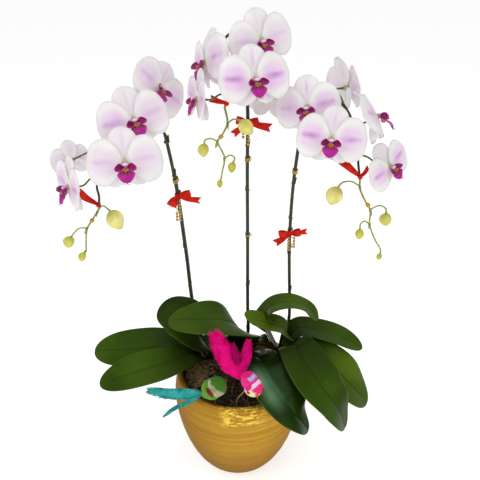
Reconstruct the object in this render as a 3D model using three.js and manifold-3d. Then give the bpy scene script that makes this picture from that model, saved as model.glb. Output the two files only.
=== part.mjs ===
// Potted moth orchid: three plants in one gold bowl, with arching flower spikes, ribbons, beads and birds.
// Millimetres, +Z up, origin at the centre of the pot's base. +X is to the right and -Y to the front.
import * as THREE from "three";
import { mergeVertices } from "three/addons/utils/BufferGeometryUtils.js";
import Module from "manifold-3d";

const wasm = await Module();
wasm.setup();

// Driving dimensions, in millimetres
const CLEARANCE = 0.3; // air between pieces that touch
const BAND_SLACK = 0.15; // more air inside a band, for the bends of the stem
const POT = {
  height: 176,
  baseRadius: 45,
  bellyRadius: 101,
  bellyHeight: 134,
  rimRadius: 95,
  rimEase: 2, // how far the rim's edges round down
  wall: 8,
  floor: 12,
  footRise: 12, // how far the floor's corner rounds in from the wall
};
const MEDIUM = { edgeHeight: 158, moundHeight: 14, bump: 2.5 };
const CROWN = { radius: 11, top: 196, bottom: 140 };
const LEAF_THICKNESS = 2.0;
const STEM_RADIUS = 2.5;
const RACHIS_RADIUS = 1.8;
const PEDICEL_RADIUS = 1.3;
const STAKE_RADIUS = 1.5;
const TEPAL_THICKNESS = 0.8;
const RIBBON_THICKNESS = 0.8;
const BEAD = { radius: 2.0, neck: 0.7, pitch: 4.8 };

// Colours
const COLOURS = {
  gold: 0xb58a35,
  medium: 0x3a2414,
  leaf: 0x1f4a16,
  stem: 0x2c3a16,
  bud: 0xa9b45c,
  tepal: 0xf1e6f4,
  lip: 0x9c1866,
  ribbon: 0xd01c1c,
  beads: 0xd9a62e,
  stake: 0x23301a,
  pink: 0xf03a9c,
  green: 0x55a52c,
  magenta: 0xe01880,
  teal: 0x2fa6ad,
};

const group = new THREE.Group();
const UP = new THREE.Vector3(0, 0, 1);

// Solids: closed geometry to a solid and back

function solidOf(geometry) {
  const bare = new THREE.BufferGeometry();
  bare.setAttribute("position", geometry.getAttribute("position"));
  bare.setIndex(geometry.getIndex());
  const merged = mergeVertices(bare, 1e-4);
  const mesh = new wasm.Mesh({
    numProp: 3,
    vertProperties: new Float32Array(merged.getAttribute("position").array),
    triVerts: new Uint32Array(merged.getIndex().array),
  });
  return new wasm.Manifold(mesh);
}

function geometryOf(solid) {
  const mesh = solid.getMesh();
  const geometry = new THREE.BufferGeometry();
  geometry.setAttribute("position", new THREE.BufferAttribute(mesh.vertProperties, 3));
  geometry.setIndex(new THREE.BufferAttribute(mesh.triVerts, 1));
  geometry.computeVertexNormals();
  return geometry;
}

function joined(geometries) {
  return geometries.map(solidOf).reduce((whole, next) => whole.add(next));
}

function addPiece(name, solid, colour, roughness, metalness = 0) {
  const material = new THREE.MeshStandardMaterial({ color: colour, roughness, metalness });
  const mesh = new THREE.Mesh(geometryOf(solid), material);
  mesh.name = name;
  group.add(mesh);
  return mesh;
}

const vector = (p) => new THREE.Vector3(...p);

// A repeatable random draw between -1 and 1
function seededDraw(seed) {
  let state = seed * 7919 + 17;
  return () => {
    state = (state * 16807) % 2147483647;
    return (state / 2147483647) * 2 - 1;
  };
}

// A round tube with flat ends along a smooth curve through the points
function tube(points, radius, steps, sides = 6) {
  const section = new THREE.Shape();
  for (let i = 0; i < sides; i++) {
    const angle = (2 * Math.PI * i) / sides;
    const x = radius * Math.cos(angle);
    const y = radius * Math.sin(angle);
    if (i === 0) section.moveTo(x, y);
    else section.lineTo(x, y);
  }
  section.closePath();
  const extrudePath = new THREE.CatmullRomCurve3(points.map(vector), false, "centripetal");
  return new THREE.ExtrudeGeometry(section, { steps, extrudePath, bevelEnabled: false });
}

// The place nearest to a point on the straight runs of such a tube
function nearestOnTube(points, steps, place) {
  const spots = new THREE.CatmullRomCurve3(points.map(vector), false, "centripetal").getSpacedPoints(steps);
  const target = vector(place);
  const candidates = spots.slice(1).map((spot, i) => {
    return new THREE.Line3(spots[i], spot).closestPointToPoint(target, true, new THREE.Vector3());
  });
  return candidates.reduce((best, next) => (next.distanceTo(target) < best.distanceTo(target) ? next : best));
}

// A body of revolution from [radius, height] points, stood on its axis Z
function turned(profile, sides) {
  const points = profile.map(([r, z]) => new THREE.Vector2(r, z));
  return new THREE.LatheGeometry(points, sides).rotateX(Math.PI / 2);
}

// The same, with its axis from one point along a direction
function turnedAlong(profile, sides, start, direction) {
  const turn = new THREE.Quaternion().setFromUnitVectors(UP, vector(direction).normalize());
  return turned(profile, sides).applyQuaternion(turn).translate(...start);
}

// Half the width of a blade, as a share of its widest: a claw at the base, widest at "widest", a round end
function bladeWidth(u, { claw, widest, shoulder, round }) {
  if (u < widest) return claw + (1 - claw) * Math.sin((Math.PI / 2) * (u / widest)) ** shoulder;
  const s = (u - widest) / (1 - widest);
  return Math.sqrt(Math.max(0, 1 - s ** round));
}

// Stations along a blade: even to its widest place, then closer together towards the round end
function bladeStations(rows, widest) {
  const stations = [];
  const first = Math.max(1, Math.round(rows * widest * 0.8));
  for (let i = 0; i < first; i++) stations.push((widest * i) / first);
  for (let i = 0; i < rows - first; i++) {
    stations.push(widest + (1 - widest) * Math.sin(((Math.PI / 2) * i) / (rows - first)));
  }
  return stations;
}

// A thin closed blade on surface(u, v), u along it and v from -1 to 1 across it. Both faces are split alike.
function blade(surface, stations, columns, thickness) {
  const positions = [];
  const triangles = [];
  const face = (i, j) => i * (columns + 1) + j;
  const across = (j) => (2 * j) / columns - 1;
  const step = 0.02; // the share of the blade over which its slope is read
  const rows = stations.length;
  const points = [];
  const normals = [];
  stations.forEach((u) => {
    for (let j = 0; j <= columns; j++) {
      const v = across(j);
      const along = surface(u + step, v).sub(surface(Math.max(0, u - step), v));
      const side = surface(u, Math.min(1, v + step)).sub(surface(u, Math.max(-1, v - step)));
      points.push(surface(u, v));
      normals.push(along.cross(side).normalize());
    }
  });
  points.push(surface(1, 0));
  normals.push(normals[face(rows - 1, Math.floor(columns / 2))].clone());
  const count = points.length;
  for (const half of [0.5, -0.5]) {
    points.forEach((point, k) => {
      positions.push(...point.clone().addScaledVector(normals[k], half * thickness).toArray());
    });
  }
  const tip = count - 1;
  const quad = (a, b, c, d) => triangles.push(a, b, c, a, c, d);
  for (let i = 0; i < rows - 1; i++) {
    for (let j = 0; j < columns; j++) {
      const [a, b, c, d] = [face(i, j), face(i, j + 1), face(i + 1, j + 1), face(i + 1, j)];
      quad(a, d, c, b);
      triangles.push(a + count, c + count, d + count, a + count, b + count, c + count);
    }
  }
  for (let j = 0; j < columns; j++) {
    const [a, b] = [face(rows - 1, j), face(rows - 1, j + 1)];
    triangles.push(a, tip, b, a + count, b + count, tip + count);
    const [p, q] = [face(0, j), face(0, j + 1)];
    quad(p, q, q + count, p + count);
  }
  const left = [];
  const right = [];
  for (let i = 0; i < rows; i++) {
    left.push(face(i, 0));
    right.push(face(i, columns));
  }
  left.push(tip);
  right.push(tip);
  for (let i = 0; i < rows; i++) {
    quad(left[i], left[i] + count, left[i + 1] + count, left[i + 1]);
    quad(right[i], right[i + 1], right[i + 1] + count, right[i] + count);
  }
  const geometry = new THREE.BufferGeometry();
  geometry.setAttribute("position", new THREE.Float32BufferAttribute(positions, 3));
  geometry.setIndex(triangles);
  return geometry;
}

// A flat strip with square ends along points, its width along the given direction at each point
function strip(points, widthDirections, widths, thickness) {
  const centres = points.map(vector);
  const positions = [];
  centres.forEach((centre, i) => {
    const before = centres[Math.max(0, i - 1)];
    const after = centres[Math.min(centres.length - 1, i + 1)];
    const along = after.clone().sub(before).normalize();
    const side = vector(widthDirections[i]).projectOnPlane(along).normalize();
    const normal = along.clone().cross(side);
    for (const [a, b] of [[-1, -1], [1, -1], [1, 1], [-1, 1]]) {
      const corner = centre.clone().addScaledVector(side, (a * widths[i]) / 2);
      positions.push(...corner.addScaledVector(normal, (b * thickness) / 2).toArray());
    }
  });
  const triangles = [0, 2, 1, 0, 3, 2];
  for (let i = 0; i < centres.length - 1; i++) {
    for (let k = 0; k < 4; k++) {
      const [a, b] = [4 * i + k, 4 * i + ((k + 1) % 4)];
      triangles.push(a, b, b + 4, a, b + 4, a + 4);
    }
  }
  const end = 4 * (centres.length - 1);
  triangles.push(end, end + 1, end + 2, end, end + 2, end + 3);
  const geometry = new THREE.BufferGeometry();
  geometry.setAttribute("position", new THREE.Float32BufferAttribute(positions, 3));
  geometry.setIndex(triangles);
  return geometry;
}

// Pot: a thrown bowl, widest near the top, with a rolled rim

function potRadius(z) {
  const { baseRadius, bellyRadius, bellyHeight, rimRadius, height } = POT;
  if (z < bellyHeight) {
    const s = 1 - z / bellyHeight;
    return baseRadius + (bellyRadius - baseRadius) * (1 - s ** 1.6) ** (1 / 1.7);
  }
  return bellyRadius - (bellyRadius - rimRadius) * ((z - bellyHeight) / (height - bellyHeight)) ** 2;
}

const POT_SIDES = 24;
const OUTER_HEIGHTS = [0, 3, 12, 30, 58, 94, 134, 162];
const INNER_HEIGHTS = [158, 134, 84, 46, 22];

function pot() {
  const { height, rimRadius, rimEase, wall, floor, footRise } = POT;
  const outer = OUTER_HEIGHTS.map((z) => [potRadius(z), z]);
  const rim = [
    [rimRadius - 0.3 * rimEase, height - rimEase],
    [rimRadius - wall / 2, height],
    [rimRadius - wall + 0.3 * rimEase, height - rimEase],
  ];
  const inner = INNER_HEIGHTS.map((z) => [potRadius(z) - wall, z]);
  const bottom = [[potRadius(INNER_HEIGHTS.at(-1)) - wall - footRise, floor], [0, floor]];
  return turned([[0, 0], ...outer, ...rim, ...inner, ...bottom], POT_SIDES);
}
addPiece("pot", solidOf(pot()), COLOURS.gold, 0.35, 0.7);

// Plants: where each crown stands
const CROWNS = { left: [-56, 24], centre: [12, 30], right: [70, 16] };

function crownProfile(extra) {
  const { radius, top, bottom } = CROWN;
  return [
    [0, bottom - extra],
    [radius * 0.7 + extra, bottom - extra],
    [radius + extra, bottom + 14],
    [radius + extra, top - 12],
    [radius * 0.55 + extra, top + extra],
    [0, top + extra],
  ];
}

function crown(name, extra = 0) {
  const [x, y] = CROWNS[name];
  return turned(crownProfile(extra), 8).translate(x, y, 0);
}

// Leaves: spine points from the crown to the tip, full width, how far the halves fold up, and the lift in
// degrees of the edge on the left when looking out along the leaf
const LEAVES = {
  left: [
    {
      spine: [[-58, 24, 186], [-78, 17, 206], [-116, 15, 206], [-170, 17, 200], [-230, 19, 194]],
      width: 68,
      fold: 0.16,
      lift: -24,
    },
    {
      spine: [[-56, 18, 184], [-76, -13, 211], [-113, -34, 210], [-158, -49, 206], [-207, -55, 190]],
      width: 59,
      fold: 0.14,
      lift: -20,
    },
    {
      spine: [[-54, 18, 184], [-58, 8, 228], [-77, 12, 255], [-99, 20, 264], [-126, 25, 265]],
      width: 72,
      fold: 0.12,
      lift: -24,
    },
  ],
  centre: [
    {
      spine: [[6, 24, 186], [-4, 8, 215], [-24, -7, 232], [-53, -14, 239]],
      width: 58,
      fold: 0.12,
      lift: -6,
    },
    {
      spine: [[20, 24, 186], [28, 16, 214], [38, 10, 224], [47, 7, 221]],
      width: 32,
      fold: 0.12,
      lift: 0,
    },
    {
      spine: [[8, 24, 188], [2, -4, 254], [-24, -18, 279], [-59, -24, 285], [-103, -20, 280]],
      width: 74,
      fold: 0.12,
      lift: -8,
    },
    {
      spine: [[14, 25, 180], [34, -18, 206], [47, -60, 203], [63, -92, 197], [80, -108, 181],
        [101, -114, 155]],
      width: 71,
      fold: 0.14,
      lift: 4,
    },
  ],
  right: [
    {
      spine: [[79, 13, 190], [80, 12, 214], [76, 9, 236], [64, 8, 250], [47, 7, 256], [29, 8, 262],
        [10, 12, 272]],
      width: 40,
      fold: 0.2,
      lift: -10,
    },
    {
      spine: [[64, 18, 194], [42, 18, 246], [47, 20, 275], [77, 20, 287], [106, 18, 279], [123, 10, 260]],
      width: 44,
      fold: 0.1,
      lift: 0,
    },
    {
      spine: [[70, 12, 188], [94, 26, 232], [126, 28, 228], [160, 20, 222], [196, 9, 207]],
      width: 52,
      fold: 0.14,
      lift: 4,
    },
    {
      spine: [[73, 9, 184], [85, -13, 230], [101, -48, 222], [121, -78, 205], [142, -92, 181],
        [157, -98, 144]],
      width: 72,
      fold: 0.14,
      lift: 8,
    },
    {
      spine: [[73, 10, 182], [106, -4, 214], [141, -20, 199], [169, -34, 176], [200, -42, 140]],
      width: 70,
      fold: 0.14,
      lift: 16,
    },
  ],
};
const LEAF_SHAPE = { claw: 0.45, widest: 0.6, shoulder: 1.35, round: 2.3 };
const LEAF_ROWS = 6;
const WIDE_LEAF = 60; // from this width on, a leaf has four facets across it, and below it two

function leaf({ spine, width, fold, lift }) {
  const curve = new THREE.CatmullRomCurve3(spine.map(vector), false, "centripetal");
  const tilt = THREE.MathUtils.degToRad(lift);
  const surface = (u, v) => {
    const t = Math.min(1, u);
    const along = curve.getTangentAt(t);
    const side = UP.clone().cross(along).normalize().applyAxisAngle(along, tilt);
    const up = along.clone().cross(side);
    const half = (width / 2) * bladeWidth(t, LEAF_SHAPE);
    const rise = half * fold * Math.abs(v) ** 1.4 * (1.6 - t);
    return curve.getPointAt(t).addScaledVector(side, half * v).addScaledVector(up, rise);
  };
  const columns = width < WIDE_LEAF ? 2 : 4;
  return blade(surface, bladeStations(LEAF_ROWS, LEAF_SHAPE.widest), columns, LEAF_THICKNESS);
}

for (const [name, leaves] of Object.entries(LEAVES)) {
  const solid = joined([crown(name), ...leaves.map(leaf)]);
  addPiece(`plant_${name}`, solid, COLOURS.leaf, 0.35);
}

// Flower spikes: each stem leans out of its crown, then arches over as the rachis that carries the blooms
const SPIKES = {
  left: {
    stem: [[-58, 26, 190], [-68, 44, 238], [-74, 51, 274], [-78, 44, 349], [-80, 34, 390], [-83, 21, 449],
      [-87, 8, 503], [-94, 0, 556]],
    rachis: [[-93, 0, 552], [-104, 6, 577], [-122, 14, 589], [-145, 18, 578], [-166, 14, 549], [-180, 4, 516],
      [-189, -6, 488], [-187, -9, 474], [-188, -10, 461]],
  },
  centre: {
    stem: [[13, 31, 190], [16, 29, 230], [15, 27, 270], [14, 22, 400], [13, 16, 502], [13, 11, 582],
      [12, 14, 604]],
    rachis: [[12, 14, 600], [11, 20, 633], [5, 26, 662], [-5, 26, 678], [-15, 20, 674], [-16, 10, 652],
      [-13, 3, 627], [-12, -4, 606], [-15, -6, 598]],
  },
  right: {
    stem: [[71, 20, 190], [78, 38, 214], [82, 46, 240], [82, 49, 266], [79, 43, 323], [76, 30, 381],
      [75, 17, 437], [76, 7, 490], [79, 4, 529], [81, 6, 545]],
    rachis: [[79, 5, 541], [84, 10, 562], [96, 18, 588], [117, 17, 602], [139, 9, 589], [152, 5, 562],
      [158, 4, 535], [160, -2, 516], [163, -4, 499]],
  },
};

// Blooms: the hub's place, the turn to the right, the tip back, the roll to the left, the size, where along
// the rachis (0 to 1) its stalk leaves, and how far the tepals fold forward, or back when it is negative
const BLOOMS = {
  left: [
    { at: [-96, -4, 617], turn: 50, tip: 15, roll: -45, size: 0.93, from: 0.14 },
    { at: [-124, -50, 590], turn: 18, tip: 20, roll: 14, size: 0.98, from: 0.3 },
    { at: [-132, -86, 548], turn: 10, tip: 15, roll: 2, size: 1.0, from: 0.48 },
    { at: [-214, -48, 503], turn: -57, tip: 6, roll: 4, size: 0.95, from: 0.8, fold: 5 },
    { at: [-223, 12, 518], turn: -140, tip: -25, roll: 0, size: 0.64, from: 0.62, fold: 8 },
  ],
  centre: [
    { at: [29, -3, 674], turn: 18, tip: 8, roll: 12, size: 0.9, from: 0.28 },
    { at: [21, -42, 636], turn: 16, tip: 18, roll: 2, size: 0.98, from: 0.12 },
    { at: [-41, 12, 646], turn: -62, tip: 10, roll: 20, size: 1.0, from: 0.62, fold: -4 },
    { at: [-49, -25, 609], turn: -70, tip: 6, roll: 8, size: 0.86, from: 0.93, fold: 5 },
    { at: [43, 45, 594], turn: 150, tip: 10, roll: 0, size: 0.8, from: 0.04 },
  ],
  right: [
    { at: [86, -22, 598], turn: -18, tip: 12, roll: 10, size: 0.92, from: 0.16 },
    { at: [112, -64, 570], turn: -8, tip: 15, roll: -4, size: 0.94, from: 0.42 },
    { at: [145, 44, 608], turn: 112, tip: 5, roll: -12, size: 0.95, from: 0.52, fold: -4 },
    { at: [173, -24, 587], turn: 85, tip: 28, roll: -24, size: 0.96, from: 0.68, fold: -9 },
    { at: [191, -45, 529], turn: 36, tip: 14, roll: 28, size: 0.8, from: 0.84 },
  ],
};

const HUB = { back: -6.5, radius: 4.4, columnRadius: 3.0, columnEnd: 9.5, sides: 5 };

// The hub and the column that stands on it, turned about the bloom's axis
function hub() {
  const { back, radius, columnRadius, columnEnd, sides } = HUB;
  const profile = [
    [0, back],
    [radius, back + 1.5],
    [radius, 1.8],
    [columnRadius, 4],
    [0, columnEnd],
  ];
  return turned(profile, sides);
}

const PETAL = { length: 45, width: 57, claw: 0.1, widest: 0.54, shoulder: 0.9, round: 2.3 };
const DORSAL = { length: 43, width: 36, claw: 0.16, widest: 0.54, shoulder: 0.9, round: 2.1 };
const LATERAL = { length: 34, width: 28, claw: 0.18, widest: 0.52, shoulder: 1.2, round: 1.9 };

// One tepal: it leaves the hub at an angle from the X axis, at a height on the bloom's axis. "bend" carries
// its tip forward and "cup" its edges, both in millimetres, and "wave" ripples its edge.
function tepal(shape, scale, { angle, height, bend, cup, wave, phase }, rows, columns) {
  const direction = THREE.MathUtils.degToRad(angle);
  const [cos, sin] = [Math.cos(direction), Math.sin(direction)];
  const surface = (u, v) => {
    const t = Math.min(1, u);
    const half = (shape.width / 2) * bladeWidth(t, shape);
    const along = 1 + (shape.length - 1) * t;
    const across = half * v;
    const ripple = wave * t * v * v * Math.sin(5.2 * t + phase + (v > 0 ? 1.3 : 0));
    const z = height + bend * t * t + cup * v * v * t + ripple;
    return new THREE.Vector3(cos * along - sin * across, sin * along + cos * across, z).multiplyScalar(scale);
  };
  return blade(surface, bladeStations(rows, shape.widest), columns, TEPAL_THICKNESS);
}

// How each sepal stands: its angle, its height and bend on the bloom's axis, and its share of a fold
const SEPALS = [
  { shape: DORSAL, angle: 90, height: -3, bend: -4, foldShare: 0.8 },
  { shape: LATERAL, angle: 228, height: -3, bend: -8, foldShare: 0.6 },
  { shape: LATERAL, angle: 312, height: -4.4, bend: -8, foldShare: 0.6 },
];
const PETAL_ANGLES = [6, 174];

function bloomSolid({ size, fold = 0 }, draw) {
  const sway = () => draw() * 3;
  const cup = -1.5 + 0.15 * fold;
  const sepals = SEPALS.map(({ shape, angle, height, bend, foldShare }) => {
    const lean = { angle: angle + sway(), height, bend: bend + fold * foldShare };
    return tepal(shape, size, { ...lean, cup, wave: 0.6, phase: draw() * 3 }, 3, 2);
  });
  const petals = PETAL_ANGLES.map((angle) => {
    const lean = { angle: angle + sway(), height: 0.4, bend: fold - 3 + draw() };
    return tepal(PETAL, size, { ...lean, cup, wave: 1.3, phase: draw() * 3 }, 5, 2);
  });
  return joined([hub().scale(size, size, size), ...sepals, ...petals]);
}

// The lip: a fleshy base under the column, two side lobes that stand up beside it, and a midlobe in front
const LIP = {
  base: [0, -7.2, 5.6],
  baseRadius: 3.9,
  lobeRise: 7.5,
  lobeWidth: 14,
  lobeSpread: 7.6,
  midlobe: 15,
  midWidth: 21,
};
const SIDE_LOBE = { claw: 0.2, widest: 0.5, shoulder: 0.8, round: 2.2 };
const MIDLOBE = { claw: 0.6, widest: 0.36, shoulder: 1.0, round: 1.3 };

function sideLobe(hand) {
  const [, y, z] = LIP.base;
  const surface = (u, v) => {
    const t = Math.min(1, u);
    const half = (LIP.lobeWidth / 2) * bladeWidth(t, SIDE_LOBE) * v;
    return new THREE.Vector3(
      hand * (1.6 + LIP.lobeSpread * Math.sin(1.9 * t) + 0.6 * half),
      y + LIP.lobeRise * t ** 1.3 - 0.4 * half,
      z + 1 + 3.4 * t + 0.7 * half,
    );
  };
  return blade(surface, [0, 0.5, 0.82], 1, TEPAL_THICKNESS);
}

function midlobePoint(u, v) {
  const [, y, z] = LIP.base;
  const t = Math.min(1, u);
  const half = (LIP.midWidth / 2) * bladeWidth(t, MIDLOBE);
  const along = LIP.midlobe * t;
  const fall = 0.7 + 0.5 * t;
  const reach = along * Math.cos(fall) - 2 * v * v * t;
  return new THREE.Vector3(half * v, y - 1 - along * Math.sin(fall), z + 1.5 + reach);
}

function lipSolid(size) {
  const base = new THREE.IcosahedronGeometry(LIP.baseRadius, 0).translate(...LIP.base);
  const midlobe = blade(midlobePoint, [0, 0.4, 0.7], 2, TEPAL_THICKNESS);
  return joined([base, sideLobe(-1), sideLobe(1), midlobe].map((part) => part.scale(size, size, size)));
}

// The turn that brings a bloom's +Z, the way it faces, to the front, then turns, tips and rolls it
function bloomTurn({ turn, tip, roll }) {
  const radians = THREE.MathUtils.degToRad;
  const facing = new THREE.Vector3(Math.sin(radians(turn)), -Math.cos(radians(turn)), 0);
  const right = new THREE.Vector3(Math.cos(radians(turn)), Math.sin(radians(turn)), 0);
  facing.applyAxisAngle(right, -radians(tip));
  right.applyAxisAngle(facing, radians(roll));
  const top = facing.clone().cross(right);
  return new THREE.Quaternion().setFromRotationMatrix(new THREE.Matrix4().makeBasis(right, top, facing));
}

function addBlooms(side, blooms, seed) {
  const draw = seededDraw(seed);
  blooms.forEach((bloom, i) => {
    const rotation = bloomTurn(bloom);
    const tepals = addPiece(`bloom_${side}_${i + 1}`, bloomSolid(bloom, draw), COLOURS.tepal, 0.6);
    const lip = addPiece(`lip_${side}_${i + 1}`, lipSolid(bloom.size), COLOURS.lip, 0.5);
    for (const piece of [tepals, lip]) {
      piece.position.set(...bloom.at);
      piece.quaternion.copy(rotation);
    }
  });
}

const STEM_STEPS = 12;
const RACHIS_STEPS = 12;

// The stalk of a bloom: from the rachis out and up, and in along the bloom's axis to just behind its hub
function pedicel(rachis, bloom) {
  const along = new THREE.CatmullRomCurve3(rachis.map(vector), false, "centripetal");
  const root = nearestOnTube(rachis, RACHIS_STEPS, along.getPointAt(bloom.from).toArray());
  const axis = new THREE.Vector3(0, 0, 1).applyQuaternion(bloomTurn(bloom));
  const end = vector(bloom.at).addScaledVector(axis, HUB.back * bloom.size - CLEARANCE);
  const before = end.clone().addScaledVector(axis, -12);
  const middle = root.clone().lerp(before, 0.5).addScaledVector(UP, 3);
  return tube([root, middle, before, end].map((p) => p.toArray()), PEDICEL_RADIUS, 3, 4);
}

for (const [side, { stem, rachis }] of Object.entries(SPIKES)) {
  const parts = [
    tube(stem, STEM_RADIUS, STEM_STEPS, 5),
    tube(rachis, RACHIS_RADIUS, RACHIS_STEPS, 4),
    ...BLOOMS[side].map((bloom) => pedicel(rachis, bloom)),
  ];
  const solid = joined(parts).subtract(solidOf(crown(side, CLEARANCE)));
  addPiece(`spike_${side}`, solid, COLOURS.stem, 0.5);
}
addBlooms("left", BLOOMS.left, 3);
addBlooms("centre", BLOOMS.centre, 5);
addBlooms("right", BLOOMS.right, 7);

// Bud sprays: the tip of each spike, a zigzag stalk with buds on short stalks of their own. A bud hangs from
// the last point of its stalk.
const SPRAYS = {
  left: {
    stalk: [[-196, -10, 445], [-202, -10, 436], [-208, -10, 427], [-212, -12, 404], [-213, -12, 394],
      [-216, -12, 388]],
    buds: [
      { stalk: [[-191, -10, 452], [-183, -11, 461], [-173, -13, 454]], length: 30, radius: 12 },
      { stalk: [[-208, -10, 427], [-219, -11, 427], [-232, -12, 414]], length: 18, radius: 8 },
      { stalk: [[-214, -12, 392], [-217, -12, 389]], length: 15, radius: 5.5 },
    ],
  },
  centre: {
    stalk: [[-14, -7, 584], [-13, -8, 574], [-20, -9, 559], [-26, -10, 551], [-24, -10, 545], [-17, -11, 529],
      [-20, -12, 512], [-22, -12, 500]],
    buds: [
      { stalk: [[-13, -8, 574], [-5, -14, 581], [4, -19, 581]], length: 23, radius: 9.2 },
      { stalk: [[-26, -10, 551], [-35, -11, 555], [-42, -12, 553], [-43, -12, 548]], length: 18, radius: 7.5 },
      { stalk: [[-17, -11, 529], [-9, -12, 533], [-4, -12, 529], [-6, -12, 523]], length: 15, radius: 5.5 },
      { stalk: [[-22, -12, 503], [-23, -12, 498]], length: 11, radius: 4 },
    ],
  },
  right: {
    stalk: [[164, -5, 485], [173, -6, 466], [181, -7, 453], [182, -8, 432], [193, -9, 406], [200, -9, 395],
      [202, -9, 388]],
    buds: [
      { stalk: [[164, -5, 487], [151, -8, 495], [139, -10, 494], [134, -11, 488]], length: 27, radius: 11.5 },
      { stalk: [[181, -7, 454], [193, -8, 460], [202, -8, 455], [203, -8, 448]], length: 19, radius: 8.5 },
      { stalk: [[182, -8, 432], [174, -9, 437], [169, -10, 433], [169, -10, 425]], length: 16, radius: 6 },
      { stalk: [[202, -9, 391], [201, -9, 386]], length: 10, radius: 4 },
    ],
  },
};
const SPRAY_RADIUS = 1.4;
const SPRAY_STEPS = 9;
const BUD_STALK_RADIUS = 1.1;
const BUD_SIDES = 6;

function bud({ stalk, length, radius }) {
  const [before, end] = stalk.slice(-2).map(vector);
  const direction = end.clone().sub(before).normalize().lerp(new THREE.Vector3(0, 0, -1), 0.5);
  const profile = [
    [0, -0.5],
    [radius * 0.7, length * 0.15],
    [radius, length * 0.45],
    [radius * 0.72, length * 0.8],
    [0, length],
  ];
  return turnedAlong(profile, BUD_SIDES, end.toArray(), direction.toArray());
}

for (const [side, { stalk, buds }] of Object.entries(SPRAYS)) {
  const rachis = new THREE.CatmullRomCurve3(SPIKES[side].rachis.map(vector), false, "centripetal");
  const start = rachis.getPointAt(1).addScaledVector(rachis.getTangentAt(1), 1.5 * CLEARANCE);
  const next = start.clone().addScaledVector(rachis.getTangentAt(1), 3);
  const path = [start.toArray(), next.toArray(), ...stalk];
  const budStalks = buds.map(({ stalk: [root, ...rest] }) => {
    const foot = nearestOnTube(path, SPRAY_STEPS, root).toArray();
    return tube([foot, ...rest], BUD_STALK_RADIUS, rest.length > 1 ? 3 : 1, 4);
  });
  const parts = [tube(path, SPRAY_RADIUS, SPRAY_STEPS, 4), ...budStalks, ...buds.map(bud)];
  addPiece(`buds_${side}`, joined(parts), COLOURS.bud, 0.5);
}

// Stakes: each stands in the medium behind a crown and runs up the back of its stem
const STAKE_STEPS = 11;
const STAKES = {
  left: [[-57, 42, 134], [-61, 45, 200], [-68, 51, 238], [-73, 57, 274], [-77, 50, 349], [-79, 40, 390],
    [-82, 26, 449], [-86, 13, 505]],
  centre: [[14, 47, 134], [15, 45, 190], [17, 36, 232], [16, 32, 270], [15, 27, 400], [14, 21, 502],
    [14, 17, 560]],
  right: [[70, 36, 134], [75, 43, 196], [81, 50, 236], [83, 54, 266], [80, 48, 323], [77, 35, 381],
    [76, 22, 437], [77, 12, 488], [78, 9, 520]],
};
for (const [side, path] of Object.entries(STAKES)) {
  addPiece(`stake_${side}`, solidOf(tube(path, STAKE_RADIUS, STAKE_STEPS, 4)), COLOURS.stake, 0.4);
}

// The point of a stem or stake at a height, on the straight runs its tube is made of
function atHeight(path, steps, z) {
  const points = new THREE.CatmullRomCurve3(path.map(vector), false, "centripetal").getSpacedPoints(steps);
  const i = Math.max(1, points.findIndex((point) => point.z >= z));
  const [low, high] = [points[i - 1], points[i]];
  const point = low.clone().lerp(high, (z - low.z) / (high.z - low.z));
  return { point, direction: high.clone().sub(low).normalize() };
}
const stemAt = (side, z) => atHeight(SPIKES[side].stem, STEM_STEPS, z);
const stakeAt = (side, z) => atHeight(STAKES[side], STAKE_STEPS, z);

// A band round a stem and its stake, as a flat loop with round ends
const BAND = { height: 5, thickness: 1.0, cornerSides: 3 };

function bandOutline(reach, radius, path) {
  for (const end of [-1, 1]) {
    for (let i = 0; i <= BAND.cornerSides; i++) {
      const angle = Math.PI * (i / BAND.cornerSides - 0.5);
      const x = end * (reach + radius * Math.cos(angle));
      const y = end * radius * Math.sin(angle);
      if (end === -1 && i === 0) path.moveTo(x, y);
      else path.lineTo(x, y);
    }
  }
  path.closePath();
  return path;
}

function band(side, z) {
  const stem = stemAt(side, z);
  const stake = stakeAt(side, z);
  const across = stake.point.clone().sub(stem.point);
  const reach = across.length() / 2;
  const inner = STEM_RADIUS + CLEARANCE + BAND_SLACK;
  const shape = bandOutline(reach, inner + BAND.thickness, new THREE.Shape());
  shape.holes.push(bandOutline(reach, inner, new THREE.Path()));
  const up = stem.direction.clone();
  const right = across.clone().projectOnPlane(up).normalize();
  const basis = new THREE.Matrix4().makeBasis(right, up.clone().cross(right), up);
  const centre = stem.point.clone().lerp(stake.point, 0.5).addScaledVector(up, -BAND.height / 2);
  const geometry = new THREE.ExtrudeGeometry(shape, { depth: BAND.height, bevelEnabled: false });
  return geometry.applyMatrix4(basis).translate(...centre.toArray());
}

const TIE_HEIGHTS = { left: 489, centre: 518, right: 504 };
for (const [side, z] of Object.entries(TIE_HEIGHTS)) {
  addPiece(`tie_${side}`, solidOf(band(side, z)), COLOURS.beads, 0.35, 0.8);
}

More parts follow.
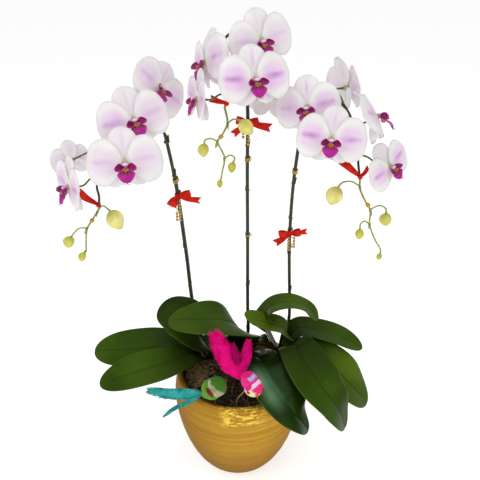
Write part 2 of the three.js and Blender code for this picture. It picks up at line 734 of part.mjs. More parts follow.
// Bows: a knot in front of the stem with loops that go out and come back, and tails. Each reach is
// [right, up]. The string of beads hangs below the knot, in two strands.
const BOWS = {
  left: {
    height: 466,
    loops: [{ reach: [-9, -15], width: 14 }, { reach: [19, 3], width: 12 }],
    tails: [{ reach: [33, -7], width: 10 }],
    strands: [{ x: 3, z: -5, beads: 7 }, { x: -1.5, z: -24, beads: 3 }],
  },
  centre: {
    height: 572,
    loops: [{ reach: [14, 1], width: 10 }, { reach: [-15, 3], width: 10 }],
    tails: [{ reach: [31, -8], width: 12 }, { reach: [-20, -17], width: 10 }],
    strands: [{ x: 1, z: -8, beads: 5 }, { x: -6, z: -8, beads: 3 }],
  },
  right: {
    height: 405,
    loops: [{ reach: [-16, -3], width: 13 }, { reach: [15, 2], width: 11 }],
    tails: [{ reach: [-22, -17], width: 12 }, { reach: [25, 3], width: 9 }],
    strands: [{ x: -2, z: -5, beads: 5 }, { x: 6, z: -5.5, beads: 4 }],
  },
};
const KNOT_RADIUS = 3.2;
const KNOT_REACH = STEM_RADIUS + KNOT_RADIUS + 0.6; // from the stem's axis forward to the knot's middle
const RIBBON_NECK = 3; // a ribbon's width where it goes into the knot
const LOOP_DEPTH = 3.5; // how far a loop's front and back stand from its middle

// One side of a bow: out in front, round, and back behind for a loop, or straight out for a tail
function ribbonPart(knot, { reach, width }, isLoop) {
  const [dx, dz] = reach;
  const place = (share, depth) => [knot.x + dx * share, knot.y - depth, knot.z + dz * share];
  const [front, back] = [place(0.55, LOOP_DEPTH), place(0.55, 1 - LOOP_DEPTH)];
  const loop = [place(0.05, 0.6), front, place(1, 0), back, place(0.05, -0.6)];
  const tail = [place(0.05, 0.6), place(0.5, 2.5), place(1, 0)];
  const loopWidths = [RIBBON_NECK, width, width * 0.8, width, RIBBON_NECK];
  const tailWidths = [RIBBON_NECK, width * 0.7, width];
  const path = isLoop ? loop : tail;
  const across = path.map(() => [-dz, 0, dx]);
  return strip(path, across, isLoop ? loopWidths : tailWidths, RIBBON_THICKNESS);
}

for (const [side, { height, loops, tails }] of Object.entries(BOWS)) {
  const knot = stemAt(side, height).point;
  knot.y -= KNOT_REACH;
  const parts = [
    new THREE.IcosahedronGeometry(KNOT_RADIUS, 0).translate(...knot.toArray()),
    band(side, height),
    ...loops.map((loop) => ribbonPart(knot, loop, true)),
    ...tails.map((tail) => ribbonPart(knot, tail, false)),
  ];
  addPiece(`bow_${side}`, joined(parts), COLOURS.ribbon, 0.45);
}

// A strand of beads on its thread, hanging down from a point
function strand(top, beads) {
  const profile = [[0, 0]];
  for (let i = 0; i < beads; i++) {
    profile.push([BEAD.neck, -i * BEAD.pitch - 0.01], [BEAD.radius, -(i + 0.5) * BEAD.pitch]);
  }
  profile.push([0, -beads * BEAD.pitch]);
  return turned(profile.reverse(), 4).translate(...top);
}

for (const [side, { height, strands }] of Object.entries(BOWS)) {
  const stem = stemAt(side, height).point;
  const y = stem.y - KNOT_REACH;
  const top = stem.z - KNOT_RADIUS - CLEARANCE - 1;
  const parts = strands.map(({ x, z, beads }) => strand([stem.x + x, y, stem.z + z], beads));
  const thread = [
    [stem.x + strands[1].x, y, stem.z + strands[1].z - 1],
    [stem.x + strands[1].x * 0.7, y, Math.min(top, stem.z + strands[0].z) - 2],
    [stem.x + strands[0].x, y, stem.z + strands[0].z - 1],
  ];
  addPiece(`beads_${side}`, joined([...parts, tube(thread, BEAD.neck, 3, 4)]), COLOURS.beads, 0.3, 0.9);
}

// Plain ribbons tied where each bud spray begins
const SPRAY_RIBBONS = {
  left: [{ reach: [-27, 19], width: 14 }],
  centre: [{ reach: [-21, 6], width: 9 }],
  right: [{ reach: [-27, 23], width: 12 }, { reach: [11, 14], width: 7 }],
};
const SPRAY_KNOT_AT = 0.985; // along the rachis
for (const [side, tails] of Object.entries(SPRAY_RIBBONS)) {
  const rachis = new THREE.CatmullRomCurve3(SPIKES[side].rachis.map(vector), false, "centripetal");
  const knot = nearestOnTube(SPIKES[side].rachis, RACHIS_STEPS, rachis.getPointAt(SPRAY_KNOT_AT).toArray());
  knot.y -= RACHIS_RADIUS + KNOT_RADIUS - CLEARANCE;
  const parts = [
    new THREE.IcosahedronGeometry(KNOT_RADIUS, 0).translate(...knot.toArray()),
    ...tails.map((tail) => ribbonPart(knot, tail, false)),
  ];
  addPiece(`ribbon_${side}`, joined(parts), COLOURS.ribbon, 0.45);
}

// Craft birds: an egg-shaped body with a round head and a beak, on a wire pick, and dyed feathers at the
// tail. "gaze" is the way the beak points.
const BIRDS = {
  pink: {
    tail: [9, -88, 238],
    head: [23, -98, 219],
    bodyRadius: 12,
    headRadius: 12,
    gaze: [0.3, -0.93, -0.2],
    pick: [[19, -92, 222], [7, -86, 200], [-1, -79, 181], [-3, -74, 148]],
    colour: COLOURS.pink,
    featherColour: COLOURS.magenta,
    featherRound: 1.3,
    feathers: [
      { spine: [[4, -88, 226], [-8, -86, 247], [-22, -81, 273], [-33, -75, 297]], width: 35 },
      { spine: [[0, -86, 247], [0, -91, 257], [-4, -89, 271], [-7, -85, 286]], width: 14 },
      { spine: [[-1, -87, 237], [5, -91, 248], [11, -88, 265], [15, -81, 289]], width: 19 },
    ],
  },
  green: {
    tail: [-49, -79, 193],
    head: [-29, -84, 211],
    bodyRadius: 15,
    headRadius: 13,
    gaze: [0.75, 0.62, 0.1],
    pick: [[-36, -78, 196], [-34, -76, 178], [-33, -72, 148]],
    colour: COLOURS.green,
    featherColour: COLOURS.teal,
    featherRound: 2.0,
    feathers: [
      { spine: [[-51, -79, 191], [-75, -84, 194], [-102, -88, 199], [-129, -91, 208]], width: 24 },
      { spine: [[-51, -79, 191], [-69, -88, 184], [-89, -97, 181], [-108, -103, 169]], width: 9 },
    ],
  },
};

const PICK_RADIUS = 0.9;
const BEAK = { radius: 2.6, length: 8 };

function birdBody({ tail, head, bodyRadius, headRadius }, extra) {
  const [rear, front] = [vector(tail), vector(head)];
  const axis = front.clone().sub(rear);
  const length = axis.length();
  const profile = [
    [0, -2 - extra],
    [bodyRadius * 0.62 + extra, length * 0.12],
    [bodyRadius + extra, length * 0.5],
    [bodyRadius * 0.8 + extra, length * 0.95],
    [0, length * 1.2 + extra],
  ];
  const skull = new THREE.IcosahedronGeometry(headRadius + extra, 1).translate(...head);
  return [turnedAlong(profile, 8, tail, axis.toArray()), skull];
}

function feather({ spine, width }, round) {
  const curve = new THREE.CatmullRomCurve3(spine.map(vector), false, "centripetal");
  const shape = { claw: 0.2, widest: 0.35, shoulder: 1.0, round };
  const surface = (u, v) => {
    const t = Math.min(1, u);
    const along = curve.getTangentAt(t);
    const side = new THREE.Vector3(0, -1, 0).cross(along).normalize();
    const half = (width / 2) * bladeWidth(t, shape);
    return curve.getPointAt(t).addScaledVector(side, half * v).add(new THREE.Vector3(0, 2 * v * v, 0));
  };
  return blade(surface, bladeStations(4, shape.widest), 2, TEPAL_THICKNESS);
}

const pickSolids = [];
for (const [name, bird] of Object.entries(BIRDS)) {
  const gaze = vector(bird.gaze).normalize();
  const beakStart = vector(bird.head).addScaledVector(gaze, bird.headRadius - 2);
  const beakProfile = [[0, 0], [BEAK.radius, 0], [0, BEAK.length]];
  const beak = turnedAlong(beakProfile, 4, beakStart.toArray(), bird.gaze);
  const pick = tube(bird.pick, PICK_RADIUS, 4, 4);
  pickSolids.push(solidOf(tube(bird.pick, PICK_RADIUS + CLEARANCE, 4, 4).translate(0, 0, -CLEARANCE)));
  addPiece(`bird_${name}`, joined([...birdBody(bird, 0), beak, pick]), bird.colour, 0.6);
  const plumes = bird.feathers.map((plume) => feather(plume, bird.featherRound));
  const feathers = joined(plumes).subtract(joined(birdBody(bird, CLEARANCE)));
  addPiece(`feathers_${name}`, feathers, bird.featherColour, 0.7);
}

// Medium: bark and moss, a bumpy mound that fills the pot, with plain holes for the crowns, stakes and picks
const MEDIUM_SIDES = 12;
const MEDIUM_RINGS = [0.97, 0.8, 0.55, 0.28];

function mediumSolid() {
  const { edgeHeight, moundHeight, bump } = MEDIUM;
  const inside = (z) => potRadius(z) - POT.wall - 2 * CLEARANCE;
  const rim = inside(edgeHeight);
  const wall = INNER_HEIGHTS.slice(1).reverse().map((z) => [inside(z), z]);
  const mound = MEDIUM_RINGS.map((share) => [rim * share, edgeHeight + moundHeight * (1 - share ** 2)]);
  const underside = POT.floor + CLEARANCE;
  const footRadius = inside(INNER_HEIGHTS.at(-1)) - POT.footRise - CLEARANCE;
  const bottom = [[0, underside], [footRadius, underside]];
  const peak = [0, edgeHeight + moundHeight];
  const geometry = turned([...bottom, ...wall, [rim, edgeHeight], ...mound, peak], MEDIUM_SIDES);
  const draw = seededDraw(11);
  const positions = geometry.getAttribute("position");
  const bumps = new Map();
  for (let i = 0; i < positions.count; i++) {
    const [x, y, z] = [positions.getX(i), positions.getY(i), positions.getZ(i)];
    if (z <= edgeHeight + 0.1 || Math.hypot(x, y) < 1) continue;
    const key = `${Math.round(x)},${Math.round(y)}`;
    if (!bumps.has(key)) bumps.set(key, draw() * bump);
    positions.setZ(i, z + bumps.get(key));
  }
  const holes = [
    ...Object.keys(CROWNS).map((name) => solidOf(crown(name, CLEARANCE))),
    ...Object.values(STAKES).map((path) => {
      return solidOf(tube(path, STAKE_RADIUS + CLEARANCE, STAKE_STEPS, 4).translate(0, 0, -CLEARANCE));
    }),
    ...pickSolids,
  ];
  return holes.reduce((whole, hole) => whole.subtract(hole), solidOf(geometry));
}
addPiece("medium", mediumSolid(), COLOURS.medium, 0.95);

export default group;
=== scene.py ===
"""Potted moth orchid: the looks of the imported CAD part. Lengths are in millimetres until a mesh is made."""

import math

import bmesh
import bpy
import numpy as np
from mathutils import Matrix, Vector


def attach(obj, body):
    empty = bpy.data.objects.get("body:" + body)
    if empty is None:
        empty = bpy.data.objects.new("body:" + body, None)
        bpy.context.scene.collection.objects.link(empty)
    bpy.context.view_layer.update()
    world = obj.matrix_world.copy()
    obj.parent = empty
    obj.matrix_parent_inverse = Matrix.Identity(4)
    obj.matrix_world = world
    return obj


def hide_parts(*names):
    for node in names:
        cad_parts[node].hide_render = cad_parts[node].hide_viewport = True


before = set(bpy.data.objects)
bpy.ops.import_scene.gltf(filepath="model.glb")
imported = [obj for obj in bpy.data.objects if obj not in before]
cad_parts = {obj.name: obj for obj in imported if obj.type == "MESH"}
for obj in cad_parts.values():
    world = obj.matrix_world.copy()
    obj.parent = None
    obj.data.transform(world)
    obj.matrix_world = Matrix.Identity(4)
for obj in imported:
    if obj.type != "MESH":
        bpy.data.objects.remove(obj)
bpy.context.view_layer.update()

MM = 0.001
UP = np.array([0.0, 0.0, 1.0])


# Vectors and curves

def unit(v):
    v = np.asarray(v, float)
    return v / np.maximum(np.linalg.norm(v, axis=-1, keepdims=True), 1e-9)


def turn_about(v, axis, angle):
    """v turned about a unit axis, in radians. Both may be rows of vectors."""
    axis = np.broadcast_to(axis, np.shape(v))
    dot = (v * axis).sum(-1, keepdims=True)
    return v * math.cos(angle) + np.cross(axis, v) * math.sin(angle) + axis * dot * (1 - math.cos(angle))


class Curve:
    """A smooth centripetal curve through points, read by its share of arc length."""

    PER_SPAN = 40
    SLOPE_STEP = 0.004

    def __init__(self, points):
        p = np.array(points, float)
        q = np.vstack([2 * p[0] - p[1], p, 2 * p[-1] - p[-2]])
        spans = [self.span(*q[i:i + 4]) for i in range(len(p) - 1)]
        self.points = np.vstack([*spans, p[-1:]])
        steps = np.linalg.norm(np.diff(self.points, axis=0), axis=1)
        self.reach = np.concatenate([[0], np.cumsum(steps)])
        self.length = self.reach[-1]

    def span(self, p0, p1, p2, p3):
        d0, d1, d2 = (max(np.linalg.norm(b - a) ** 0.5, 1e-3) for a, b in ((p0, p1), (p1, p2), (p2, p3)))
        m1 = ((p1 - p0) / d0 - (p2 - p0) / (d0 + d1) + (p2 - p1) / d1) * d1
        m2 = ((p2 - p1) / d1 - (p3 - p1) / (d1 + d2) + (p3 - p2) / d2) * d1
        t = np.linspace(0, 1, self.PER_SPAN, endpoint=False)[:, None]
        return p1 + m1 * t + (3 * (p2 - p1) - 2 * m1 - m2) * t**2 + (2 * (p1 - p2) + m1 + m2) * t**3

    def at(self, t):
        s = np.clip(t, 0, 1) * self.length
        return np.stack([np.interp(s, self.reach, self.points[:, k]) for k in range(3)], -1)

    def along(self, t):
        t = np.asarray(t, float)
        return unit(self.at(t + self.SLOPE_STEP) - self.at(t - self.SLOPE_STEP))

    def share_at(self, z):
        """Where along a rising curve it reaches a height."""
        return np.interp(z, self.points[:, 2], self.reach) / self.length

    def nearest(self, place):
        """The point of the curve nearest to a place, and its share along the curve."""
        k = np.argmin(np.linalg.norm(self.points - np.array(place), axis=1))
        return self.points[k], self.reach[k] / self.length


# Meshes: each piece is gathered from grids of points, with what its material reads from them

def link_object(name, data):
    made = bpy.data.objects.new(name, data)
    bpy.context.scene.collection.objects.link(made)
    return made


class Piece:
    """One mesh in the making. "blade" holds three numbers a point for its material: along, across, share."""

    def __init__(self):
        self.points = []
        self.faces = []
        self.blade = []
        self.slots = []
        self.count = 0

    def add(self, points, faces, blade, slot=0):
        points = np.reshape(points, (-1, 3))
        self.points.append(points)
        self.blade.append(np.broadcast_to(blade, points.shape))
        self.faces += [tuple(k + self.count for k in face) for face in faces]
        self.slots += [slot] * len(faces)
        self.count += len(points)

    def finish(self, name, materials, replaces, slot, turn=None, place=(0, 0, 0)):
        points = np.vstack(self.points)
        if turn is not None:
            points = points @ np.array(turn).T + np.array(place)
        mesh = bpy.data.meshes.new(name)
        mesh.from_pydata((points * MM).tolist(), [], self.faces)
        blade = mesh.attributes.new("blade", "FLOAT_VECTOR", "POINT")
        blade.data.foreach_set("vector", np.vstack(self.blade).astype(np.float32).ravel())
        mesh.polygons.foreach_set("material_index", self.slots)
        mesh.polygons.foreach_set("use_smooth", [True] * len(self.faces))
        for material in materials:
            mesh.materials.append(material)
        closed = bmesh.new()
        closed.from_mesh(mesh)
        bmesh.ops.remove_doubles(closed, verts=closed.verts, dist=1e-7)
        bmesh.ops.recalc_face_normals(closed, faces=closed.faces)
        closed.to_mesh(mesh)
        closed.free()
        mesh.update()
        piece = link_object(name, mesh)
        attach(piece, "root")
        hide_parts(*replaces)
        return piece


def grid_faces(rows, columns, closed=False, flip=False):
    """Quads of a grid of rows by columns points. A closed grid joins its last column to its first."""
    faces = []
    for i in range(rows - 1):
        for j in range(columns if closed else columns - 1):
            k = (j + 1) % columns
            face = (i * columns + j, i * columns + k, (i + 1) * columns + k, (i + 1) * columns + j)
            faces.append(face[::-1] if flip else face)
    return faces


def add_shell(piece, surface, stations, columns, thickness, share=0.0, slot=0, edge=0.3):
    """A closed thin shell on surface(u, v), with u from 0 to 1 along it and v from -1 to 1 across it. It
    thins to "edge" of its thickness at its rim."""
    u, v = np.meshgrid(stations, np.linspace(-1, 1, columns), indexing="ij")
    step = 0.01
    points = surface(u, v)
    # near the tip the width falls to nothing, so slopes are read a little inside it
    ui = np.minimum(u, 0.985)
    vi = np.clip(v, -1 + step, 1 - step)
    normal = unit(np.cross(
        surface(ui + step, vi) - surface(np.maximum(ui - step, 0), vi),
        surface(ui, vi + step) - surface(ui, vi - step),
    ))
    if np.ptp(points[-1], axis=0).max() < 1e-6:
        normal[-1] = unit(normal[-1].mean(0))
    rim = np.maximum(np.abs(v) ** 8, np.clip((u - 0.9) / 0.1, 0, 1) ** 2)
    half = (thickness / 2 * (1 - (1 - edge) * rim))[..., None]
    rows = len(stations)
    front = points + normal * half
    back = points - normal * half
    blade = np.stack([u, v, np.full_like(u, share)], -1).reshape(-1, 3)
    n = rows * columns
    faces = grid_faces(rows, columns, flip=True)
    faces += [tuple(k + n for k in f) for f in grid_faces(rows, columns)]
    loop = [i * columns for i in range(rows)]
    loop += [(rows - 1) * columns + j for j in range(1, columns)]
    loop += [i * columns + columns - 1 for i in range(rows - 2, -1, -1)]
    loop += [j for j in range(columns - 2, 0, -1)]
    for a, b in zip(loop, loop[1:] + loop[:1]):
        faces.append((a, b, b + n, a + n))
    piece.add(np.vstack([front.reshape(-1, 3), back.reshape(-1, 3)]), faces, np.vstack([blade, blade]), slot)


def transport_frames(points):
    """Two unit directions across a path at each point, turning with it as little as they can."""
    tangents = unit(np.gradient(points, axis=0))
    side = np.cross(tangents[0], [0.0, 1.0, 0.0])
    if np.linalg.norm(side) < 0.2:
        side = np.cross(tangents[0], [1.0, 0.0, 0.0])
    sides = [unit(side)]
    for tangent in tangents[1:]:
        last = sides[-1]
        sides.append(unit(last - tangent * (last @ tangent)))
    sides = np.array(sides)
    return sides, np.cross(tangents, sides)


def add_tube(piece, curve, radius, rings, sides, share=0.0, slot=0):
    """A round tube along a curve with domed ends. radius is a number, or a function of the share along."""
    t = np.linspace(0, 1, rings)
    centres = curve.at(t)
    a, b = transport_frames(centres)
    r = np.broadcast_to(radius(t) if callable(radius) else radius, t.shape)
    tangents = np.cross(a, b)
    first, last = centres[:1] - tangents[:1] * r[0] * 0.4, centres[-1:] + tangents[-1:] * r[-1] * 0.4
    centres = np.vstack([first, centres, last])
    a, b = (np.vstack([x[:1], x, x[-1:]]) for x in (a, b))
    r = np.concatenate([[r[0] * 0.6], r, [r[-1] * 0.6]])
    t = np.concatenate([t[:1], t, t[-1:]])
    angle = np.linspace(0, 2 * math.pi, sides, endpoint=False)
    ring = np.cos(angle)[None, :, None] * a[:, None] + np.sin(angle)[None, :, None] * b[:, None]
    points = centres[:, None] + ring * r[:, None, None]
    blade = np.stack(np.broadcast_arrays(t[:, None], angle[None] / math.pi - 1, share), -1)
    n = len(t)
    faces = grid_faces(n, sides, closed=True)
    faces.append(tuple(range(sides))[::-1])
    faces.append(tuple((n - 1) * sides + k for k in range(sides)))
    piece.add(points, faces, blade.reshape(-1, 3), slot)


def add_turned(piece, profile, sides, start=(0, 0, 0), direction=(0, 0, 1), share=0.0, slot=0, shape=None):
    """A body of revolution from [radius, height] points, the first and last with radius 0. shape(points,
    angle) may bend the rings before they are placed."""
    profile = np.array(profile, float)
    angle = np.linspace(0, 2 * math.pi, sides, endpoint=False)
    inner = profile[1:-1]
    ring = np.stack([np.cos(angle), np.sin(angle), np.zeros(sides)], -1)
    points = inner[:, :1, None] * ring[None] + inner[:, 1:, None] * UP
    if shape:
        points = shape(points, angle)
    ends = np.array([[0, 0, profile[0, 1]], [0, 0, profile[-1, 1]]])
    count = len(inner)
    local = np.vstack([points.reshape(-1, 3), ends])
    quaternion = Vector((0, 0, 1)).rotation_difference(Vector(direction))
    turned = local @ np.array(quaternion.to_matrix()).T + np.array(start, float)
    faces = grid_faces(count, sides, closed=True)
    low, high = count * sides, count * sides + 1
    for j in range(sides):
        k = (j + 1) % sides
        faces.append((low, k, j))
        faces.append((high, (count - 1) * sides + j, (count - 1) * sides + k))
    span = profile[-1, 1] - profile[0, 1]
    along = np.repeat((inner[:, 1] - profile[0, 1]) / (span or 1), sides)
    across = np.tile(angle / math.pi - 1, count)
    blade = np.stack([along, across, np.full(len(along), share)], -1)
    piece.add(turned, faces, np.vstack([blade, [[0, 0, share], [1, 0, share]]]), slot)


def ball_profile(radius, rows, height=1.0, power=1.0):
    """The outline of a ball from its lower pole to its upper one, height times as tall as wide."""
    t = np.linspace(0, math.pi, rows)
    profile = np.stack([radius * np.sin(t) ** power, -radius * height * np.cos(t)], -1)
    profile[0, 0] = profile[-1, 0] = 0
    return profile


# Materials: nodes are added by kind, with their sockets set by value or by a link

class Shader:
    """A node material in the making, with its Principled shader."""

    def __init__(self, name, **values):
        """values are constants for the sockets of the Principled shader."""
        self.material = bpy.data.materials.new(name)
        self.material.use_nodes = True
        self.tree = self.material.node_tree
        self.surface = self.tree.nodes["Principled BSDF"]
        self.colour = None
        for key, value in values.items():
            self.set(self.surface, key.replace("_", " "), value)

    def set(self, node, socket, value):
        target = node.inputs[socket]
        if isinstance(value, bpy.types.NodeSocket):
            self.tree.links.new(value, target)
        elif isinstance(value, tuple) and len(value) == 3 and target.type == "RGBA":
            target.default_value = (*value, 1)
        else:
            target.default_value = value

    def node(self, kind, inputs=None, output=0, **settings):
        node = self.tree.nodes.new("ShaderNode" + kind)
        for key, value in settings.items():
            setattr(node, key, value)
        for socket, value in (inputs or {}).items():
            self.set(node, socket, value)
        return node.outputs[output]

    def math(self, operation, a, b=0.0):
        return self.node("Math", {0: a, 1: b}, operation=operation)

    def times(self, a, b):
        return self.math("MULTIPLY", a, b)

    def plus(self, a, b):
        return self.math("ADD", a, b)

    def less_half(self, a):
        return self.math("SUBTRACT", a, 0.5)

    def blade(self):
        """The three numbers of the mesh's "blade": along, across, share."""
        return self.parts(self.node("Attribute", output="Vector", attribute_name="blade"))

    def parts(self, vector):
        return tuple(self.node("SeparateXYZ", {0: vector}).node.outputs)

    def place(self, scale=None):
        """The place on the object, in metres, stretched by a scale if one is given."""
        place = self.node("TexCoord", output="Object")
        return self.node("Mapping", {"Vector": place, "Scale": scale}) if scale else place

    def noise(self, scale, detail=3.0, roughness=0.5, vector=None, distortion=0.0):
        inputs = {"Vector": vector or self.place(), "Scale": scale, "Detail": detail, "Roughness": roughness,
                  "Distortion": distortion}
        return self.node("TexNoise", inputs)

    def ramp(self, value, stops):
        """stops is [(position, number or colour), ...]; returns the smooth colour between them."""
        output = self.node("ValToRGB", {"Fac": value})
        ramp = output.node.color_ramp
        ramp.interpolation = "EASE"
        while len(ramp.elements) < len(stops):
            ramp.elements.new(0.5)
        for element, (position, colour) in zip(ramp.elements, stops):
            element.position = position
            element.color = (*colour, 1) if isinstance(colour, tuple) else (colour, colour, colour, 1)
        return output

    def rise(self, value, low, high, start=0.0, end=1.0):
        """A smooth step from start to end while the value goes from low to high."""
        return self.ramp(value, [(low, start), (high, end)])

    def fade(self, value, low, high, start=0.0, end=1.0):
        """A straight step from start to end, whose value may be a length."""
        return self.node("MapRange", {0: value, 1: low, 2: high, 3: start, 4: end})

    def mix(self, share, a, b):
        return self.node("Mix", {0: share, 6: a, 7: b}, 2, data_type="RGBA")

    def paint(self, share, colour):
        """Lays a colour over the one so far, by a share."""
        self.colour = self.mix(share, self.colour, colour)

    def finish(self, grain, rough, height, strength, distance):
        """The material, with a roughness that follows the grain from one number to another, and a bump of the
        height, whose distance is in millimetres."""
        bump = {"Height": height, "Strength": strength, "Distance": distance * MM}
        self.set(self.surface, "Base Color", self.colour)
        self.set(self.surface, "Roughness", self.rise(grain, 0.3, 0.7, *rough))
        self.set(self.surface, "Normal", self.node("Bump", bump))
        return self.material


def dimmed(colour, share):
    return tuple(c * share for c in colour)


# The darker and the lighter green of a leaf, each from a dark leaf to a light one
LEAF_TONES = (
    ((0.006, 0.016, 0.001), (0.026, 0.058, 0.002), (0.08, 0.14, 0.006)),
    ((0.022, 0.046, 0.002), (0.05, 0.10, 0.004), (0.13, 0.21, 0.012)),
)


def leaf_material(name, shine, tint, roughness, painted_sheen=0.0):
    """Leathery green that share makes lighter, with fine fibres, dark midrib, pale margin and painted shade
    at its base. The last argument is how strong a pale painted highlight beside its midrib is."""
    s = Shader(name, Roughness=roughness, Specular_IOR_Level=shine, Specular_Tint=tint)
    along, across, share = s.blade()
    away = s.math("ABSOLUTE", across)
    lengthwise = {0: s.times(along, 1.2), 1: s.times(across, 20.0), 2: share}
    fibre = s.noise(2.4, 4.0, 0.6, vector=s.node("CombineXYZ", lengthwise))
    cloud = s.noise(14.0, 2.0, 0.5)
    deep, light = (s.ramp(share, list(zip((0.0, 0.5, 1.0), tones))) for tones in LEAF_TONES)
    s.colour = s.mix(s.rise(cloud, 0.32, 0.68), deep, light)
    s.paint(s.rise(fibre, 0.4, 0.7, 0.0, 0.3), light)
    rib = s.ramp(away, [(0.0, 1.0), (0.03, 0.6), (0.07, 0.0)])
    s.paint(s.times(rib, 0.5), (0.010, 0.026, 0.002))
    s.paint(s.rise(away, 0.93, 1.0, 0.0, 0.4), (0.13, 0.17, 0.02))
    # painted shade: the leaf darkens towards its base, where the crown shades it
    s.paint(s.ramp(along, [(0.0, 0.9), (0.28, 0.65), (0.65, 0.0)]), (0.004, 0.009, 0.001))
    # painted highlight: a pale green patch beside the midrib stands in for the sheen of light on the front
    # leaf
    if painted_sheen:
        beside = s.ramp(s.fade(across, -1.0, 1.0), [(0.05, 0.0), (0.3, 1.0), (0.46, 0.5), (0.6, 0.0)])
        bloom = s.times(beside, s.ramp(along, [(0.3, 0.0), (0.52, 1.0), (0.6, 0.7), (0.8, 0.0)]))
        s.paint(s.times(bloom, painted_sheen), (0.20, 0.42, 0.22))
    height = s.plus(s.times(fibre, 0.7), s.times(s.noise(300.0, 2.0, 0.6), 0.06))
    return s.finish(cloud, (roughness - 0.04, roughness + 0.06), height, 0.3, 0.7)


def stem_material(name, dark, light, brown):
    """Streaked along the stem, with patches of brown. share makes it a dry brown."""
    s = Shader(name, Roughness=0.42, Specular_IOR_Level=0.4)
    share = s.blade()[2]
    grain = s.noise(420.0, 4.0, 0.6, vector=s.place((1.0, 1.0, 0.12)))
    patch = s.noise(30.0, 3.0, 0.5)
    s.colour = s.mix(s.rise(grain, 0.35, 0.7), dark, light)
    s.paint(s.rise(patch, 0.5, 0.75, 0.0, 0.45), brown)
    s.paint(share, (0.10, 0.05, 0.018))
    return s.finish(grain, (0.32, 0.55), grain, 0.4, 0.5)


def tepal_material(shape_name, blush_strength):
    """White with a lilac blush and streak along the midline, fan veins, a green-cream root, and a grey rim
    of painted shade.
    """
    # A faint white emission is a painted glow that lifts the shaded side of the tepals; they are no lamp
    s = Shader("tepal_" + shape_name, Roughness=0.55, Subsurface_Weight=0.2, Subsurface_Scale=0.003,
               Specular_IOR_Level=0.25, Emission_Color=(1.0, 0.95, 0.97), Emission_Strength=0.05,
               Subsurface_Radius=(1.0, 0.8, 0.9))
    along, across, share = s.blade()
    away = s.math("ABSOLUTE", across)
    wobble = s.noise(55.0, 3.0, 0.5)
    fan = s.plus(s.times(across, 11.0), s.times(wobble, 1.6))
    vein = s.rise(s.math("ABSOLUTE", s.math("SINE", s.times(fan, 3.1416))), 0.0, 0.3, 1.0, 0.0)
    cloud = s.noise(34.0, 3.0, 0.55)
    middle = s.ramp(away, [(0.0, 1.0), (0.32, 0.65), (0.8, 0.0)])
    reach = s.ramp(along, [(0.1, 0.0), (0.4, 1.0), (0.74, 0.8), (1.0, 0.05)])
    blush = s.times(s.times(middle, reach), s.rise(cloud, 0.3, 0.7, 0.5, 1.0))
    white = s.mix(s.rise(cloud, 0.35, 0.7), (0.80, 0.775, 0.77), (0.88, 0.865, 0.855))
    strength = s.times(s.plus(s.times(share, 0.55), 0.4), blush_strength)
    s.colour = s.mix(s.times(blush, strength), white, (0.68, 0.24, 0.70))
    ragged = s.plus(away, s.times(s.less_half(wobble), 0.22))
    near = s.ramp(ragged, [(0.0, 1.0), (0.06, 0.6), (0.2, 0.0)])
    streak = s.times(near, s.ramp(along, [(0.25, 0.0), (0.58, 1.0), (0.7, 0.9), (0.95, 0.0)]))
    streak = s.times(streak, s.rise(cloud, 0.36, 0.62, 0.3, 1.0))
    s.paint(s.times(streak, s.times(share, 0.75)), (0.32, 0.12, 0.42))
    s.paint(s.times(vein, s.ramp(along, [(0.05, 0.16), (0.5, 0.26), (1.0, 0.06)])), (0.60, 0.44, 0.66))
    s.paint(s.rise(along, 0.0, 0.16, 0.7, 0.0), (0.58, 0.58, 0.30))
    # painted shade: a warm grey along the rim and towards the tip
    s.paint(s.rise(s.math("MAXIMUM", away, along), 0.82, 1.0, 0.0, 0.55), (0.66, 0.62, 0.60))
    height = s.plus(s.times(vein, -0.6), s.times(s.noise(900.0, 2.0, 0.6), 0.2))
    return s.finish(cloud, (0.5, 0.65), height, 0.4, 0.5)


def lip_material():
    """share 0 is a dark side lobe, share 1 the brighter midlobe, which pales towards its margin."""
    s = Shader("lip", Roughness=0.4, Subsurface_Weight=0.08, Subsurface_Scale=0.002, Specular_IOR_Level=0.35)
    along, across, share = s.blade()
    cloud = s.noise(120.0, 3.0, 0.55)
    stripes = s.math("SINE", s.plus(s.times(across, 14.0), s.times(cloud, 5.0)))
    stripes = s.rise(stripes, 0.35, 0.8)
    deep = s.mix(s.rise(cloud, 0.35, 0.7), (0.13, 0.001, 0.035), (0.30, 0.003, 0.11))
    bright = s.plus(s.times(share, 0.5), 0.15)
    bright = s.times(bright, s.ramp(along, [(0.1, 0.1), (0.6, 1.0), (1.0, 0.9)]))
    s.colour = s.mix(bright, deep, (0.56, 0.006, 0.36))
    s.paint(s.times(stripes, s.rise(along, 0.0, 0.3, 0.75, 0.0)), (0.70, 0.42, 0.26))
    s.paint(s.rise(s.math("ABSOLUTE", across), 0.6, 1.0, 0.0, 0.6), (0.66, 0.04, 0.46))
    return s.finish(cloud, (0.35, 0.55), cloud, 0.5, 0.6)


def column_material():
    """share 0 is the lilac column with its pale cap, share 1 the golden, red-spotted callus."""
    s = Shader("column", Roughness=0.4, Subsurface_Weight=0.1, Subsurface_Scale=0.002, Specular_IOR_Level=0.3)
    along, _, share = s.blade()
    spots = s.node("TexVoronoi", {"Vector": s.place(), "Scale": 700.0})
    lilac = s.ramp(along, [(0.0, (0.55, 0.30, 0.45)), (0.35, (0.66, 0.18, 0.70)), (0.8, (0.74, 0.36, 0.78)),
                           (1.0, (0.86, 0.66, 0.84))])
    gold = s.mix(s.rise(spots, 0.2, 0.5, 1.0, 0.0), (0.52, 0.17, 0.025), (0.14, 0.010, 0.008))
    s.colour = s.mix(share, lilac, gold)
    grain = s.noise(600.0, 2.0, 0.6)
    return s.finish(grain, (0.3, 0.5), grain, 0.3, 0.3)


